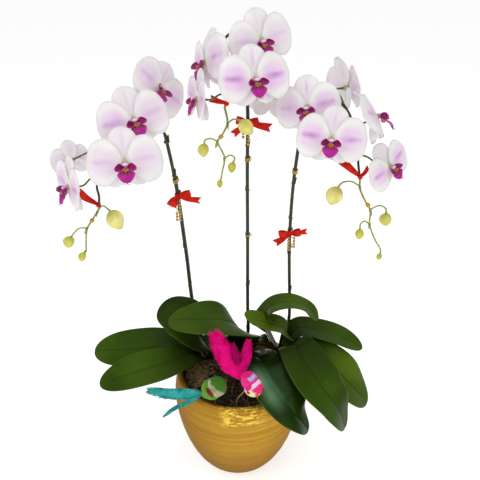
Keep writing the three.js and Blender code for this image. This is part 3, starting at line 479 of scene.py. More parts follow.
def bud_material():
    """share 0 is a young green bud, share 1 a ripe cream one. Faint ribs run from its stalk to its tip."""
    # A faint yellow emission is a painted glow that lightens the buds; they are no lamp
    s = Shader("bud", Roughness=0.5, Subsurface_Weight=0.1, Subsurface_Scale=0.003, Specular_IOR_Level=0.3,
               Emission_Color=(0.9, 0.85, 0.15), Emission_Strength=0.08)
    along, across, share = s.blade()
    cloud = s.noise(90.0, 4.0, 0.6)
    green = s.mix(s.rise(cloud, 0.35, 0.7), (0.38, 0.39, 0.03), (0.60, 0.58, 0.08))
    cream = s.mix(s.rise(cloud, 0.35, 0.7), (0.76, 0.68, 0.20), (0.92, 0.85, 0.40))
    s.colour = s.mix(share, green, cream)
    s.paint(s.ramp(along, [(0.0, 0.6), (0.3, 0.0), (0.8, 0.0), (1.0, 0.45)]), (0.30, 0.32, 0.04))
    fan = s.math("ABSOLUTE", s.math("SINE", s.times(across, 22.0)))
    s.paint(s.rise(fan, 0.0, 0.3, 0.3, 0.0), (0.38, 0.36, 0.06))
    return s.finish(cloud, (0.42, 0.6), s.times(fan, 0.25), 0.3, 0.3)


def satin_material():
    """Red satin ribbon: a fine weave with a woven edge and soft creases, with painted shade in the crease
    hollows and a lighter painted sheen on their ridges.
    """
    s = Shader("ribbon_satin", Roughness=0.45, Specular_IOR_Level=0.3, Specular_Tint=(1.0, 0.35, 0.3))
    along, across, _ = s.blade()
    weave = s.times(s.math("SINE", s.times(across, 70.0)), s.math("SINE", s.times(along, 260.0)))
    crease_and_painted_shade = s.noise(140.0, 3.0, 0.5)
    # painted shade and sheen: the red darkens in the crease hollows and lightens on their ridges
    s.colour = s.mix(s.rise(crease_and_painted_shade, 0.35, 0.7), (0.46, 0.007, 0.002), (0.78, 0.020, 0.005))
    selvage = s.ramp(s.math("ABSOLUTE", across), [(0.86, 0.0), (0.92, 0.45), (1.0, 0.2)])
    s.paint(selvage, (0.40, 0.003, 0.004))
    return s.finish(crease_and_painted_shade, (0.38, 0.55), s.plus(s.times(weave, 0.12), crease_and_painted_shade), 0.5, 0.6)


def gold_material(name, low, high, scale):
    """Shiny metal between two colours, rougher where it is darker."""
    s = Shader(name, Metallic=0.9, Roughness=0.3)
    tarnish = s.noise(scale, 3.0, 0.6)
    s.colour = s.mix(s.rise(tarnish, 0.35, 0.65), low, high)
    return s.finish(tarnish, (0.42, 0.22), tarnish, 0.3, 0.2)


def pot_material():
    """Gold lustre glaze over throwing rings: soft brushed bands round the pot, with painted shade towards its
    foot, on its left side and on the inner wall above the medium, and painted yellow glints on the front
    below the rim."""
    s = Shader("pot_gold", Metallic=0.7, Roughness=0.45, Specular_Tint=(0.35, 0.22, 0.10))
    x, y, height = s.parts(s.place())
    brushed = s.noise(1.0, 5.0, 0.62, vector=s.place((6.0, 6.0, 260.0)))
    rings = s.noise(1.0, 3.0, 0.5, vector=s.place((4.0, 4.0, 60.0)))
    blotch = s.noise(20.0, 4.0, 0.6)
    s.colour = s.mix(s.rise(brushed, 0.3, 0.7), (0.45, 0.24, 0.026), (0.58, 0.33, 0.045))
    s.paint(s.rise(rings, 0.4, 0.68, 0.0, 0.3), (0.66, 0.41, 0.075))
    s.paint(s.rise(blotch, 0.45, 0.75, 0.0, 0.3), (0.34, 0.18, 0.02))
    collar = POT["collar"] * MM
    s.paint(s.fade(height, collar, collar + 0.02, 0.0, 0.45), (0.46, 0.19, 0.014))
    # painted shade: darker towards the foot
    s.paint(s.fade(height, 0.0, 0.11, 0.7, 0.0), (0.24, 0.13, 0.022))
    # painted shade: darker on the left side of the pot
    s.paint(s.fade(x, -0.1, 0.01, 0.6, 0.0), (0.26, 0.14, 0.02))
    gleam = s.noise(75.0, 3.0, 0.6, vector=s.place((1.0, 1.0, 3.2)), distortion=0.6)
    inside = s.times(s.fade(x, -0.03, -0.015), s.fade(x, 0.025, 0.045, 1.0, 0.0))
    inside = s.times(inside, s.fade(height, 0.143, 0.153))
    inside = s.times(inside, s.math("LESS_THAN", y, 0.0))
    glints = s.times(s.rise(gleam, 0.49, 0.56), inside)
    s.paint(glints, (0.95, 0.68, 0.10))
    # painted shade: the inner wall above the medium, where the leaves shade it
    flat = s.node("VectorMath", {0: s.place((1.0, 1.0, 0.0))}, output="Value", operation="LENGTH")
    inner = s.fade(flat, (POT["rim"] - POT["wall"]) * MM, (POT["rim"] - POT["wall"] / 2) * MM, 0.85, 0.0)
    inner = s.times(inner, s.math("GREATER_THAN", height, 0.152))
    s.paint(inner, (0.05, 0.026, 0.006))
    relief = s.plus(s.plus(s.times(brushed, 0.3), s.times(rings, 0.4)), s.times(glints, 0.8))
    return s.finish(brushed, (0.52, 0.38), relief, 0.35, 0.8)


def bark_material(name, dark, light, scale):
    """Dry and porous, at a scale of grain. share darkens it."""
    s = Shader(name, Roughness=0.85, Specular_IOR_Level=0.25)
    share = s.blade()[2]
    grain = s.noise(scale, 5.0, 0.7)
    pores = s.node("TexVoronoi", {"Vector": s.place(), "Scale": scale * 1.6})
    s.colour = s.mix(s.rise(grain, 0.3, 0.7), dark, light)
    s.paint(s.times(share, 0.8), (0.02, 0.012, 0.008))
    return s.finish(grain, (0.95, 0.7), s.plus(grain, s.times(pores, 0.5)), 0.8, 1.2)


def plume_material(name, dark, light):
    """Dyed feather: barbs slant out from the shaft to both edges, and the shaft is lighter. share dims it."""
    # A faint emission in the feather's light colour is a painted glow; the feathers are no lamp
    s = Shader(name, Roughness=0.6, Specular_IOR_Level=0.12, Specular_Tint=light, Emission_Color=light,
               Emission_Strength=0.1)
    along, across, share = s.blade()
    away = s.math("ABSOLUTE", across)
    uneven = s.noise(120.0, 3.0, 0.6)
    slant = s.math("SUBTRACT", s.times(along, 190.0), s.times(away, 42.0))
    barbs = s.math("SINE", s.plus(slant, s.times(uneven, 9.0)))
    streaks = s.noise(60.0, 4.0, 0.7, distortion=0.8)
    s.colour = s.mix(s.rise(uneven, 0.3, 0.7), dark, light)
    s.paint(s.rise(streaks, 0.46, 0.66, 0.0, 0.75), dimmed(dark, 0.5))
    s.paint(s.rise(barbs, 0.0, 0.6, 0.35, 0.0), dimmed(dark, 0.4))
    s.paint(s.rise(away, 0.0, 0.08, 0.45, 0.0), light)
    s.paint(share, dimmed(dark, 0.12))
    return s.finish(uneven, (0.5, 0.75), barbs, 0.35, 0.25)


def bird_material(name, body, back, belly, rump):
    """Painted craft foam under short down. along runs from tail to head, share from belly to back."""
    s = Shader(name, Roughness=0.75, Specular_IOR_Level=0.2, Sheen_Weight=0.08, Sheen_Roughness=0.5)
    along, _, share = s.blade()
    ruffle = s.noise(210.0, 4.0, 0.65)
    uneven = s.times(s.less_half(ruffle), 0.35)
    high = s.plus(share, uneven)
    far = s.plus(along, uneven)
    s.colour = s.mix(s.rise(ruffle, 0.3, 0.7, 0.0, 0.4), body, dimmed(body, 0.55))
    s.paint(s.rise(high, 0.14, 0.28, 1.0, 0.0), belly)
    saddle = s.ramp(far, [(0.2, 0.0), (0.26, 1.0), (0.42, 1.0), (0.5, 0.0)])
    s.paint(s.times(s.rise(high, 0.66, 0.78), saddle), back)
    s.paint(s.rise(far, 0.26, 0.32, 1.0, 0.0), rump)
    return s.finish(ruffle, (0.65, 0.9), ruffle, 0.7, 0.9)


def bird_head_material(name, cap, cheek, band):
    """The head: share runs from its cheek at 0 to its cap at 1, and along from its neck to its crown."""
    s = Shader(name, Roughness=0.7, Specular_IOR_Level=0.2, Sheen_Weight=0.08, Sheen_Roughness=0.5)
    along, _, share = s.blade()
    ruffle = s.noise(260.0, 4.0, 0.65)
    uneven = s.times(s.less_half(ruffle), 0.22)
    high = s.plus(share, uneven)
    s.colour = s.mix(s.rise(high, 0.5, 0.6), cheek, cap)
    blush = s.noise(90.0, 2.0, 0.5)
    s.paint(s.rise(blush, 0.5, 0.7, 0.0, 0.5), dimmed(cap, 0.6))
    far = s.plus(along, uneven)
    s.paint(s.rise(far, 0.42, 0.52, 1.0, 0.0), band)
    return s.finish(ruffle, (0.6, 0.85), ruffle, 0.6, 0.7)


# The part's own sizes, as in its solids

POT = {"height": 176, "base": 45, "belly": 101, "belly_height": 134, "rim": 95, "wall": 8, "floor": 12,
       "collar": 150}
POT_SIDES = 144
MEDIUM = {"edge": 158, "mound": 14}
CROWN = {"radius": 11, "top": 196, "bottom": 140}
STEM_RADIUS = 2.5
RACHIS_RADIUS = 1.8
PEDICEL_RADIUS = 1.3
STAKE_RADIUS = 1.5
SPRAY_RADIUS = 1.4
BUD_STALK_RADIUS = 1.1


class Draw:
    """The repeatable draw between -1 and 1 that the solids' blooms use."""

    def __init__(self, seed):
        self.state = seed * 7919 + 17

    def __call__(self):
        self.state = self.state * 16807 % 2147483647
        return self.state / 2147483647 * 2 - 1


def blade_width(u, claw, widest, shoulder, blunt):
    """Half a blade's width as a share of its widest: a claw at its root, and a round end."""
    root = claw + (1 - claw) * np.sin(np.pi / 2 * np.clip(u / widest, 0, 1)) ** shoulder
    s = np.clip((u - widest) / (1 - widest), 0, 1)
    return np.where(u < widest, root, np.sqrt(np.maximum(0, 1 - s**blunt)))


def blade_stations(rows, widest):
    """Stations along a blade: even to its widest place, then closer together towards its round end."""
    first = max(2, round(rows * widest))
    out = widest + (1 - widest) * np.sin(np.pi / 2 * np.linspace(0, 1, rows - first + 1))
    return np.concatenate([np.linspace(0, widest, first, endpoint=False), out])


def hump(u):
    """0 at both ends of a length and 1 in its middle."""
    return np.sin(np.pi * np.clip(u, 0, 1))


def ridge(v, width):
    """1 on a midline, and almost nothing at twice the width beside it."""
    return np.exp(-((v / width) ** 2))


# Pot: the bowl with its throwing rings and a shallow groove under the collar

def pot_radius(z):
    low = 1 - np.clip(z / POT["belly_height"], 0, 1)
    wide = POT["base"] + (POT["belly"] - POT["base"]) * (1 - low**1.6) ** (1 / 1.7)
    high = np.clip((z - POT["belly_height"]) / (POT["height"] - POT["belly_height"]), 0, 1)
    return np.where(z < POT["belly_height"], wide, POT["belly"] - (POT["belly"] - POT["rim"]) * high**2)


def make_pot():
    piece = Piece()
    z = np.concatenate([[0.0, 0.4, 1.2], np.linspace(2.5, POT["height"] - 3, 150)])
    rings = 0.16 * np.sin(z / 2.3 + 1.7 * np.sin(z / 17)) + 0.10 * np.sin(z / 1.1 + 2.0)
    above = z - POT["collar"]
    groove = -0.4 * ridge(above, 1.4) + 0.3 * ridge(above - 3.2, 1.8)
    foot = -2.0 * np.clip(1 - z / 2.5, 0, 1) ** 2
    outer = np.stack([pot_radius(z) + rings * np.clip(z / 12, 0, 1) + groove + foot, z], -1)
    angle = np.linspace(-0.1, math.pi + 0.1, 12)
    middle, half = POT["rim"] - POT["wall"] / 2, POT["wall"] / 2
    lip = np.stack([middle + half * np.cos(angle), POT["height"] - 3 + 3 * np.sin(angle)], -1)
    z = np.linspace(POT["height"] - 6, 24, 30)
    inner = np.stack([pot_radius(z) - POT["wall"], z], -1)
    floor = [[inner[-1, 0] - 12, POT["floor"]], [0, POT["floor"]]]
    profile = np.vstack([[[0, 1.5], [40, 1.5], [42, 0]], outer, lip, inner, floor])

    def thrown(points, angle):
        """A thrown pot is never quite round."""
        radius = np.linalg.norm(points[..., :2], axis=-1, keepdims=True)
        hand = 0.4 * np.sin(angle * 3 + 0.5)[None, :, None]
        points[..., :2] *= 1 + hand * np.clip(radius / POT["belly"], 0, 1) / np.maximum(radius, 1)
        return points

    add_turned(piece, profile, POT_SIDES, shape=thrown)
    piece.finish("pot_bowl", [pot_material()], ["pot"], "pot")


# Medium: a mound under bark chips, dried strands and a tuft of coir

FILL_RADIUS = float(pot_radius(MEDIUM["edge"])) - POT["wall"]
FILL_GAP = 0.6  # between the medium and the pot's wall
MEDIUM_SEED = 4
CHIPS = 620
STRANDS = 260
STRAND_REACH = 84
COIR = (-66, -2)  # where a pale tuft lies beside the left crown
COIR_STRANDS = 240


def mound_height(x, y):
    share = np.hypot(x, y) / FILL_RADIUS
    return MEDIUM["edge"] + MEDIUM["mound"] * (1 - share**2)


def lump(rng, size, sides=7, rows=5):
    """A rough stone-like form: points and faces of a small uneven ball, size along each axis."""
    t = np.linspace(0, math.pi, rows)[:, None]
    a = np.linspace(0, 2 * math.pi, sides, endpoint=False)[None]
    rough = 1 + 0.28 * rng.standard_normal((rows, sides))
    x, y = np.sin(t) * np.cos(a) * rough, np.sin(t) * np.sin(a) * rough
    points = np.stack([x, y, np.cos(t) * np.ones_like(a)], -1)
    points[0], points[-1] = points[0, :1], points[-1, :1]
    return points * np.array(size), grid_faces(rows, sides, closed=True, flip=True)


def spin(points, rng, tilt):
    z, x = rng.uniform(0, 2 * math.pi), rng.normal(0, tilt)
    matrix = Matrix.Rotation(z, 3, "Z") @ Matrix.Rotation(x, 3, "X")
    return points @ np.array(matrix).T


def make_medium():
    mound = Piece()
    radius = FILL_RADIUS - FILL_GAP
    share = np.linspace(1, 0, 26)[1:-1]
    z = np.linspace(20, MEDIUM["edge"], 12)
    wall = np.stack([pot_radius(z) - POT["wall"] - FILL_GAP, z], -1)
    top = np.stack([radius * share, MEDIUM["edge"] + MEDIUM["mound"] * (1 - share**2)], -1)
    crown = [[0, MEDIUM["edge"] + MEDIUM["mound"]]]
    rng = np.random.default_rng(MEDIUM_SEED)

    def bumpy(points, angle):
        high = points[..., 2] > MEDIUM["edge"] - 1
        points[..., 2] += np.where(high, rng.normal(-1.2, 1.3, points.shape[:2]), 0)
        return points

    add_turned(mound, np.vstack([[[0, 13]], [[40, 13]], wall, top, crown]), 72, shape=bumpy)
    mound.finish("medium_mound", [bark_material("soil", (0.012, 0.007, 0.004), (0.06, 0.032, 0.016), 160.0)],
                 ["medium"], "medium")

    chips = Piece()
    for _ in range(CHIPS):
        reach, angle = radius * math.sqrt(rng.uniform(0, 0.93)), rng.uniform(0, 2 * math.pi)
        x, y = reach * math.cos(angle), reach * math.sin(angle)
        size = rng.uniform(2.0, 5.5)
        points, faces = lump(rng, (size, size * rng.uniform(0.4, 0.8), size * rng.uniform(0.25, 0.45)))
        points = spin(points, rng, 0.45) + [x, y, mound_height(x, y) + rng.uniform(-0.8, 1.2)]
        chips.add(points, faces, (0, 0, rng.uniform(0, 1)))
    chips.finish("medium_bark", [bark_material("bark", (0.03, 0.014, 0.007), (0.17, 0.085, 0.035), 240.0)],
                 ["medium"], "medium")

    fibres = Piece()
    for _ in range(STRANDS):
        reach, angle = radius * math.sqrt(rng.uniform(0.05, 0.9)), rng.uniform(0, 2 * math.pi)
        x, y = reach * math.cos(angle), reach * math.sin(angle)
        add_strand(fibres, rng, x, y, rng.uniform(10, 26), rng.uniform(0.25, 0.55), rng.uniform(0.5, 1))
    for _ in range(COIR_STRANDS):
        x, y = COIR[0] + rng.normal(0, 10), COIR[1] + rng.normal(0, 14)
        add_strand(fibres, rng, x, y, rng.uniform(8, 18), rng.uniform(0.35, 0.75), rng.uniform(0, 0.3))
    fibres.finish("medium_fibres", [bark_material("coir", (0.20, 0.12, 0.05), (0.62, 0.46, 0.23), 300.0)],
                  ["medium"], "medium")


def add_strand(piece, rng, x, y, length, radius, share):
    """A dried strand that lies on the mound and lifts a little in its middle."""
    heading = rng.uniform(0, 2 * math.pi)
    points = []
    for k in range(5):
        s = (k / 4 - 0.5) * length
        px = x + s * math.cos(heading) + rng.normal(0, length * 0.05)
        py = y + s * math.sin(heading) + rng.normal(0, length * 0.05)
        far = math.hypot(px, py) / STRAND_REACH
        if far > 1:
            px, py = px / far, py / far
        points.append([px, py, mound_height(px, py) + 1.2 + 1.8 * math.sin(math.pi * k / 4)])
    add_tube(piece, Curve(points), radius, 7, 4, share)


# Plants: a crown of leaf bases with its leaves

CROWNS = {"left": (-56, 24), "centre": (12, 30), "right": (70, 16)}
LEAF_SHAPE = {"claw": 0.45, "widest": 0.6, "shoulder": 1.35, "blunt": 2.3}
LEAF_THICKNESS = 2.0
LEAF_GROOVE = {"depth": 1.1, "width": 0.07}
FRONT_LEAF = ("centre", 3)  # the glossiest one, which hangs over the rim
# Spine from the crown to the tip, full width, fold, lift in degrees, and how light its green is
# A low green share is partly the leaf's own tone, partly painted shade for leaves that sit in shade
LEAVES = {
    "left": [
        ([(-58, 24, 186), (-78, 17, 206), (-116, 15, 206), (-170, 17, 200), (-230, 19, 194)],
         68, 0.16, -24, 0.5),
        ([(-56, 18, 184), (-76, -13, 211), (-113, -34, 210), (-158, -49, 206), (-207, -55, 190)],
         59, 0.14, -20, 0.45),
        ([(-54, 18, 184), (-58, 8, 228), (-77, 12, 255), (-99, 20, 264), (-126, 25, 265)],
         72, 0.12, -24, 0.1),
    ],
    "centre": [
        ([(6, 24, 186), (-4, 8, 215), (-24, -7, 232), (-53, -14, 239)], 58, 0.12, -6, 0.02),
        ([(20, 24, 186), (28, 16, 214), (38, 10, 224), (47, 7, 221)], 32, 0.12, 0, 0.02),
        ([(8, 24, 188), (2, -4, 254), (-24, -18, 279), (-59, -24, 285), (-103, -20, 280)],
         74, 0.12, -8, 0.45),
        ([(14, 25, 180), (34, -18, 206), (47, -60, 203), (63, -92, 197), (80, -108, 181), (101, -114, 155)],
         71, 0.14, 4, 0.05),
    ],
    "right": [
        ([(79, 13, 190), (80, 12, 214), (76, 9, 236), (64, 8, 250), (47, 7, 256), (29, 8, 262),
          (10, 12, 272)], 40, 0.2, -10, 0.8),
        ([(64, 18, 194), (42, 18, 246), (47, 20, 275), (77, 20, 287), (106, 18, 279), (123, 10, 260)],
         44, 0.1, 0, 0.65),
        ([(70, 12, 188), (94, 26, 232), (126, 28, 228), (160, 20, 222), (196, 9, 207)], 52, 0.14, 4, 0.5),
        ([(73, 9, 184), (85, -13, 230), (101, -48, 222), (121, -78, 205), (142, -92, 181), (157, -98, 144)],
         72, 0.14, 8, 0.4),
        ([(73, 10, 182), (106, -4, 214), (141, -20, 199), (169, -34, 176), (200, -42, 140)],
         70, 0.14, 16, 0.72),
    ],
}
# Dried sheaths of old leaves at the crowns: the spine, the width and how brown each is
OLD_SHEATHS = {
    "left": [([(-57, 22, 186), (-57, 20, 206), (-52, 17, 228)], 14, 1.0),
             ([(-50, 16, 188), (-46, 4, 208), (-38, -9, 219)], 8, 0.2)],
    "centre": [([(20, 22, 188), (32, 8, 206), (45, -8, 209)], 8, 0.2)],
    "right": [],
}


def add_leaf(piece, spine, width, fold, lift, shade, phase, slot):
    curve = Curve(spine)
    tilt = math.radians(lift)

    def surface(u, v):
        along = curve.along(u)
        side = turn_about(unit(np.cross(UP, along)), along, tilt)
        up = np.cross(along, side)
        half = width / 2 * blade_width(u, **LEAF_SHAPE)
        rise = half * fold * np.abs(v) ** 1.4 * (1.6 - u)
        groove = -LEAF_GROOVE["depth"] * ridge(v, LEAF_GROOVE["width"]) * hump(np.clip(u, 0.02, 0.97)) ** 0.5
        wave = 0.9 * np.sin(9 * u + phase + 1.5 * np.sign(v)) * v**2 * np.sin(np.pi * u)
        return curve.at(u) + side * (half * v)[..., None] + up * (rise + groove + wave)[..., None]

    stations = blade_stations(44, LEAF_SHAPE["widest"])
    add_shell(piece, surface, stations, 25, LEAF_THICKNESS, shade, slot, edge=0.25)


def make_plants():
    leaf = leaf_material("leaf", 0.14, (0.6, 0.95, 0.4), 0.36)
    glossy = leaf_material("leaf_glossy", 0.3, (0.45, 1.0, 0.5), 0.24, painted_sheen=0.9)
    sheath = stem_material("sheath", (0.12, 0.085, 0.035), (0.30, 0.22, 0.09), (0.2, 0.12, 0.05))
    for side, leaves in LEAVES.items():
        piece = Piece()
        x, y = CROWNS[side]
        radius, top, bottom = CROWN["radius"], CROWN["top"], CROWN["bottom"]
        profile = [[0, bottom], [radius * 0.7, bottom], [radius, bottom + 14], [radius, top - 12],
                   [radius * 0.55, top - 1], [0, top]]
        add_turned(piece, profile, 20, start=(x, y, 0), share=0.3, slot=1)
        for k, values in enumerate(leaves):
            add_leaf(piece, *values, phase=1.7 * k, slot=2 if (side, k) == FRONT_LEAF else 0)
        for spine, width, brown in OLD_SHEATHS[side]:
            add_leaf(piece, spine, width, 0.5, 0, brown, 0.0, 1)
        piece.finish(f"leaves_{side}", [leaf, sheath, glossy], [f"plant_{side}"], "leaf")


# Flower spikes

SPIKES = {
    "left": {
        "stem": [(-58, 26, 190), (-68, 44, 238), (-74, 51, 274), (-78, 44, 349), (-80, 34, 390),
                 (-83, 21, 449), (-87, 8, 503), (-94, 0, 556)],
        "rachis": [(-93, 0, 552), (-104, 6, 577), (-122, 14, 589), (-145, 18, 578), (-166, 14, 549),
                   (-180, 4, 516), (-189, -6, 488), (-187, -9, 474), (-188, -10, 461)],
    },
    "centre": {
        "stem": [(13, 31, 190), (16, 29, 230), (15, 27, 270), (14, 22, 400), (13, 16, 502), (13, 11, 582),
                 (12, 14, 604)],
        "rachis": [(12, 14, 600), (11, 20, 633), (5, 26, 662), (-5, 26, 678), (-15, 20, 674), (-16, 10, 652),
                   (-13, 3, 627), (-12, -4, 606), (-15, -6, 598)],
    },
    "right": {
        "stem": [(71, 20, 190), (78, 38, 214), (82, 46, 240), (82, 49, 266), (79, 43, 323), (76, 30, 381),
                 (75, 17, 437), (76, 7, 490), (79, 4, 529), (81, 6, 545)],
        "rachis": [(79, 5, 541), (84, 10, 562), (96, 18, 588), (117, 17, 602), (139, 9, 589), (152, 5, 562),
                   (158, 4, 535), (160, -2, 516), (163, -4, 499)],
    },
}
# The hub's place, the turn to the right, the tip back and the roll to the left in degrees, the size, where
# along the rachis its stalk leaves, and how far its tepals fold forward
BLOOMS = {
    "left": [
        ((-96, -4, 617), 50, 15, -45, 0.93, 0.14, 0),
        ((-124, -50, 590), 18, 20, 14, 0.98, 0.3, 0),
        ((-132, -86, 548), 10, 15, 2, 1.0, 0.48, 0),
        ((-214, -48, 503), -57, 6, 4, 0.95, 0.8, 5),
        ((-223, 12, 518), -140, -25, 0, 0.64, 0.62, 8),
    ],
    "centre": [
        ((29, -3, 674), 18, 8, 12, 0.9, 0.28, 0),
        ((21, -42, 636), 16, 18, 2, 0.98, 0.12, 0),
        ((-41, 12, 646), -62, 10, 20, 1.0, 0.62, -4),
        ((-49, -25, 609), -70, 6, 8, 0.86, 0.93, 5),
        ((43, 45, 594), 150, 10, 0, 0.8, 0.04, 0),
    ],
    "right": [
        ((86, -22, 598), -18, 12, 10, 0.92, 0.16, 0),
        ((112, -64, 570), -8, 15, -4, 0.94, 0.42, 0),
        ((145, 44, 608), 112, 5, -12, 0.95, 0.52, -4),
        ((173, -24, 587), 85, 28, -24, 0.96, 0.68, -9),
        ((191, -45, 529), 36, 14, 28, 0.8, 0.84, 0),
    ],
}
BLOOM_SEEDS = {"left": 3, "centre": 5, "right": 7}
# How dark each bloom's purple streaks are
STREAKS = {
    "left": (0.6, 0.9, 0.35, 0.9, 0.3),
    "centre": (0.3, 0.9, 0.8, 0.8, 0.3),
    "right": (0.8, 0.9, 0.3, 0.5, 0.8),
}
HUB = {"back": -6.5, "radius": 4.4, "column": 3.0}
COLUMN_BREADTH = 1.35
CLEARANCE = 0.3
# A ring scar's outline, in shares of the stem's radius and in millimetres along it
SCAR = [(0, -1.6), (1.0, -1.5), (1.28, -0.3), (1.22, 0.6), (1.06, 1.6), (0, 1.8)]
# Where the stems have their ring scars, and where the brown knob near the left one's top is
SCARS_AT = (0.1, 0.3, 0.5, 0.68, 0.84)
KNOB_AT = 0.975


def bloom_turn(turn, tip, roll):
    """The basis of a bloom, as columns: its right, its top and the way it faces."""
    t = math.radians(turn)
    facing = np.array([math.sin(t), -math.cos(t), 0])
    right = np.array([math.cos(t), math.sin(t), 0])
    facing = turn_about(facing, right, -math.radians(tip))
    right = turn_about(right, facing, math.radians(roll))
    return np.stack([right, np.cross(facing, right), facing], -1)


def add_node(piece, curve, t, radius, turned_to, share):
    """A ring scar on a stem with the clasping bract above it, which ends in a point on one side."""
    centre, along = curve.at(t), curve.along(t)
    profile = [[radius * share_of_radius, rise] for share_of_radius, rise in SCAR]
    add_turned(piece, profile, 14, start=centre, direction=along, share=share)
    outward = turn_about(unit(np.cross(along, [0.3, 1.0, 0.1])), along, turned_to)
    across = np.cross(along, outward)

    def bract(u, v):
        half = 1.5 * np.sqrt(np.maximum(1 - u, 0)) ** 1.4
        angle = v * half
        reach = radius + 0.45 + 0.9 * u**2
        rise = 9 * u
        return (centre + np.cos(angle)[..., None] * outward * reach[..., None]
                + np.sin(angle)[..., None] * across * reach[..., None] + along * rise[..., None])

    add_shell(piece, bract, np.linspace(0, 1, 9), 11, 0.5, share)


def pedicel_radius(t):
    """A little thicker at the rachis, and more so behind the bloom."""
    return PEDICEL_RADIUS * (0.95 + 0.3 * (1 - t) ** 6 + 0.45 * t**8)


def make_spikes():
    stem_skin = stem_material("stem", (0.008, 0.016, 0.003), (0.035, 0.050, 0.010), (0.05, 0.030, 0.010))
    stalk_skin = stem_material("stalk", (0.055, 0.085, 0.02), (0.16, 0.20, 0.06), (0.14, 0.10, 0.04))
    for side, parts in SPIKES.items():
        piece = Piece()
        stem, rachis = Curve(parts["stem"]), Curve(parts["rachis"])
        add_tube(piece, stem, lambda t: STEM_RADIUS * (1.04 - 0.1 * t), 120, 14)
        add_tube(piece, rachis, lambda t: RACHIS_RADIUS * (1.12 - 0.25 * t), 90, 12, share=0.1)
        for k, t in enumerate(SCARS_AT):
            add_node(piece, stem, t, STEM_RADIUS, 1.1 + 2.2 * k, 0.35)
        if side == "left":
            add_node(piece, stem, KNOB_AT, STEM_RADIUS * 1.3, 4.0, 1.0)
        for k, (at, turn, tip, roll, size, leaves_at, _) in enumerate(BLOOMS[side]):
            root, _ = rachis.nearest(rachis.at(leaves_at))
            axis = bloom_turn(turn, tip, roll)[:, 2]
            end = np.array(at) + axis * (HUB["back"] * size - CLEARANCE)
            before = end - axis * 12
            middle = (root + before) / 2 + 3 * UP
            stalk = Curve([root, middle, before, end])
            add_tube(piece, stalk, pedicel_radius, 36, 10, slot=1)
            add_node(piece, rachis, leaves_at, RACHIS_RADIUS, 2.0 * k, 0.3)
        piece.finish(f"stems_{side}", [stem_skin, stalk_skin], [f"spike_{side}"], "stem")


# Blooms and lips, in each bloom's own frame: X to its right, Y up, Z the way it faces

PETAL = {"length": 45, "width": 57, "shape": {"claw": 0.1, "widest": 0.54, "shoulder": 0.9, "blunt": 2.3}}
DORSAL = {"length": 43, "width": 36, "shape": {"claw": 0.16, "widest": 0.54, "shoulder": 0.9, "blunt": 2.1}}
LATERAL = {"length": 34, "width": 28, "shape": {"claw": 0.18, "widest": 0.52, "shoulder": 1.2, "blunt": 1.9}}
TEPAL_THICKNESS = 0.8
# The outline of the column, a blunt beak over the lip with a white cap, as radius and height
COLUMN = [[0, 2.6], [2.9, 3.0], [2.7, 4.6], [2.5, 6.4], [2.75, 7.6], [2.5, 8.7], [1.5, 9.3], [0, 9.5]]


def add_tepal(piece, kind, size, angle, height, bend, cup, wave, phase, streak, slot, rows, columns):
    direction = math.radians(angle)
    cos, sin = math.cos(direction), math.sin(direction)
    shape = kind["shape"]

    def surface(u, v):
        half = kind["width"] / 2 * blade_width(u, **shape)
        edge = np.clip(np.abs(v), 0, 1) ** 3 * hump(u * 0.94 + 0.04) ** 0.6
        half = half * (1 + 0.012 * edge * np.sin(17 * u + 2 * phase))
        along = 1 + (kind["length"] - 1) * u
        across = half * v
        z = height + bend * u**2 + cup * v**2 * u
        shift = np.where(v > 0, 1.3, 0) * np.clip(np.abs(v) * 4, 0, 1)
        z += wave * u * v**2 * np.sin(5.2 * u + phase + shift)
        z += 0.45 * wave * edge * np.sin(14 * u + 3 * phase + 1.5 * np.sign(v))
        z -= 0.7 * ridge(v, 0.09) * hump(u)
        return np.stack([cos * along - sin * across, sin * along + cos * across, z], -1) * size

    stations = blade_stations(rows, shape["widest"])
    add_shell(piece, surface, stations, columns, TEPAL_THICKNESS, streak, slot, edge=0.45)


def make_bloom(name, node, values, draw, streak, skins):
    at, turn, tip, roll, size, _, fold = values
    basis = bloom_turn(turn, tip, roll)
    cup = -1.5 + 0.15 * fold
    piece = Piece()
    back, radius = HUB["back"], HUB["radius"]
    profile = [[0, back], [radius * 0.35, back + 0.1], [radius * 0.5, back + 1.2],
               [radius * 0.86, back + 3.4], [radius, back + 5.6], [radius * 0.98, 0.6], [radius * 0.8, 2.2],
               [HUB["column"], 3.4], [0, 3.6]]
    add_turned(piece, np.array(profile) * size, 24, slot=2)

    def sway():
        return draw() * 3

    sepals = [(DORSAL, 90, -3.0, -4 + 0.8 * fold), (LATERAL, 228, -3.0, -8 + 0.6 * fold),
              (LATERAL, 312, -4.4, -8 + 0.6 * fold)]
    for kind, angle, height, bend in sepals:
        angle += sway()
        add_tepal(piece, kind, size, angle, height, bend, cup, 0.6, draw() * 3, streak * 0.5, 1, 26, 17)
    for angle in (6, 174):
        angle += sway()
        bend = fold - 3 + draw()
        add_tepal(piece, PETAL, size, angle, 0.4, bend, cup, 1.3, draw() * 3, streak, 0, 34, 25)

    def hollowed(points, angle):
        """Flat and a little hollow below, where it stands over the lip."""
        low = np.clip(-np.sin(angle), 0, 1)[None, :, None]
        rise = np.clip((points[..., 2:3] - 3 * size) / (6 * size), 0, 1)
        points[..., 1:2] += 1.3 * size * low * rise
        points[..., 0] *= COLUMN_BREADTH
        return points

    add_turned(piece, np.array(COLUMN) * size, 20, direction=(0, -0.12, 1), slot=3, shape=hollowed)
    piece.finish(name, skins, [node], "tepal", basis, at)


LIP = {"base": (0, -7.2, 5.6), "radius": 3.9, "rise": 7.5, "lobe": 14, "spread": 7.6, "midlobe": 15,
       "mid_width": 21}
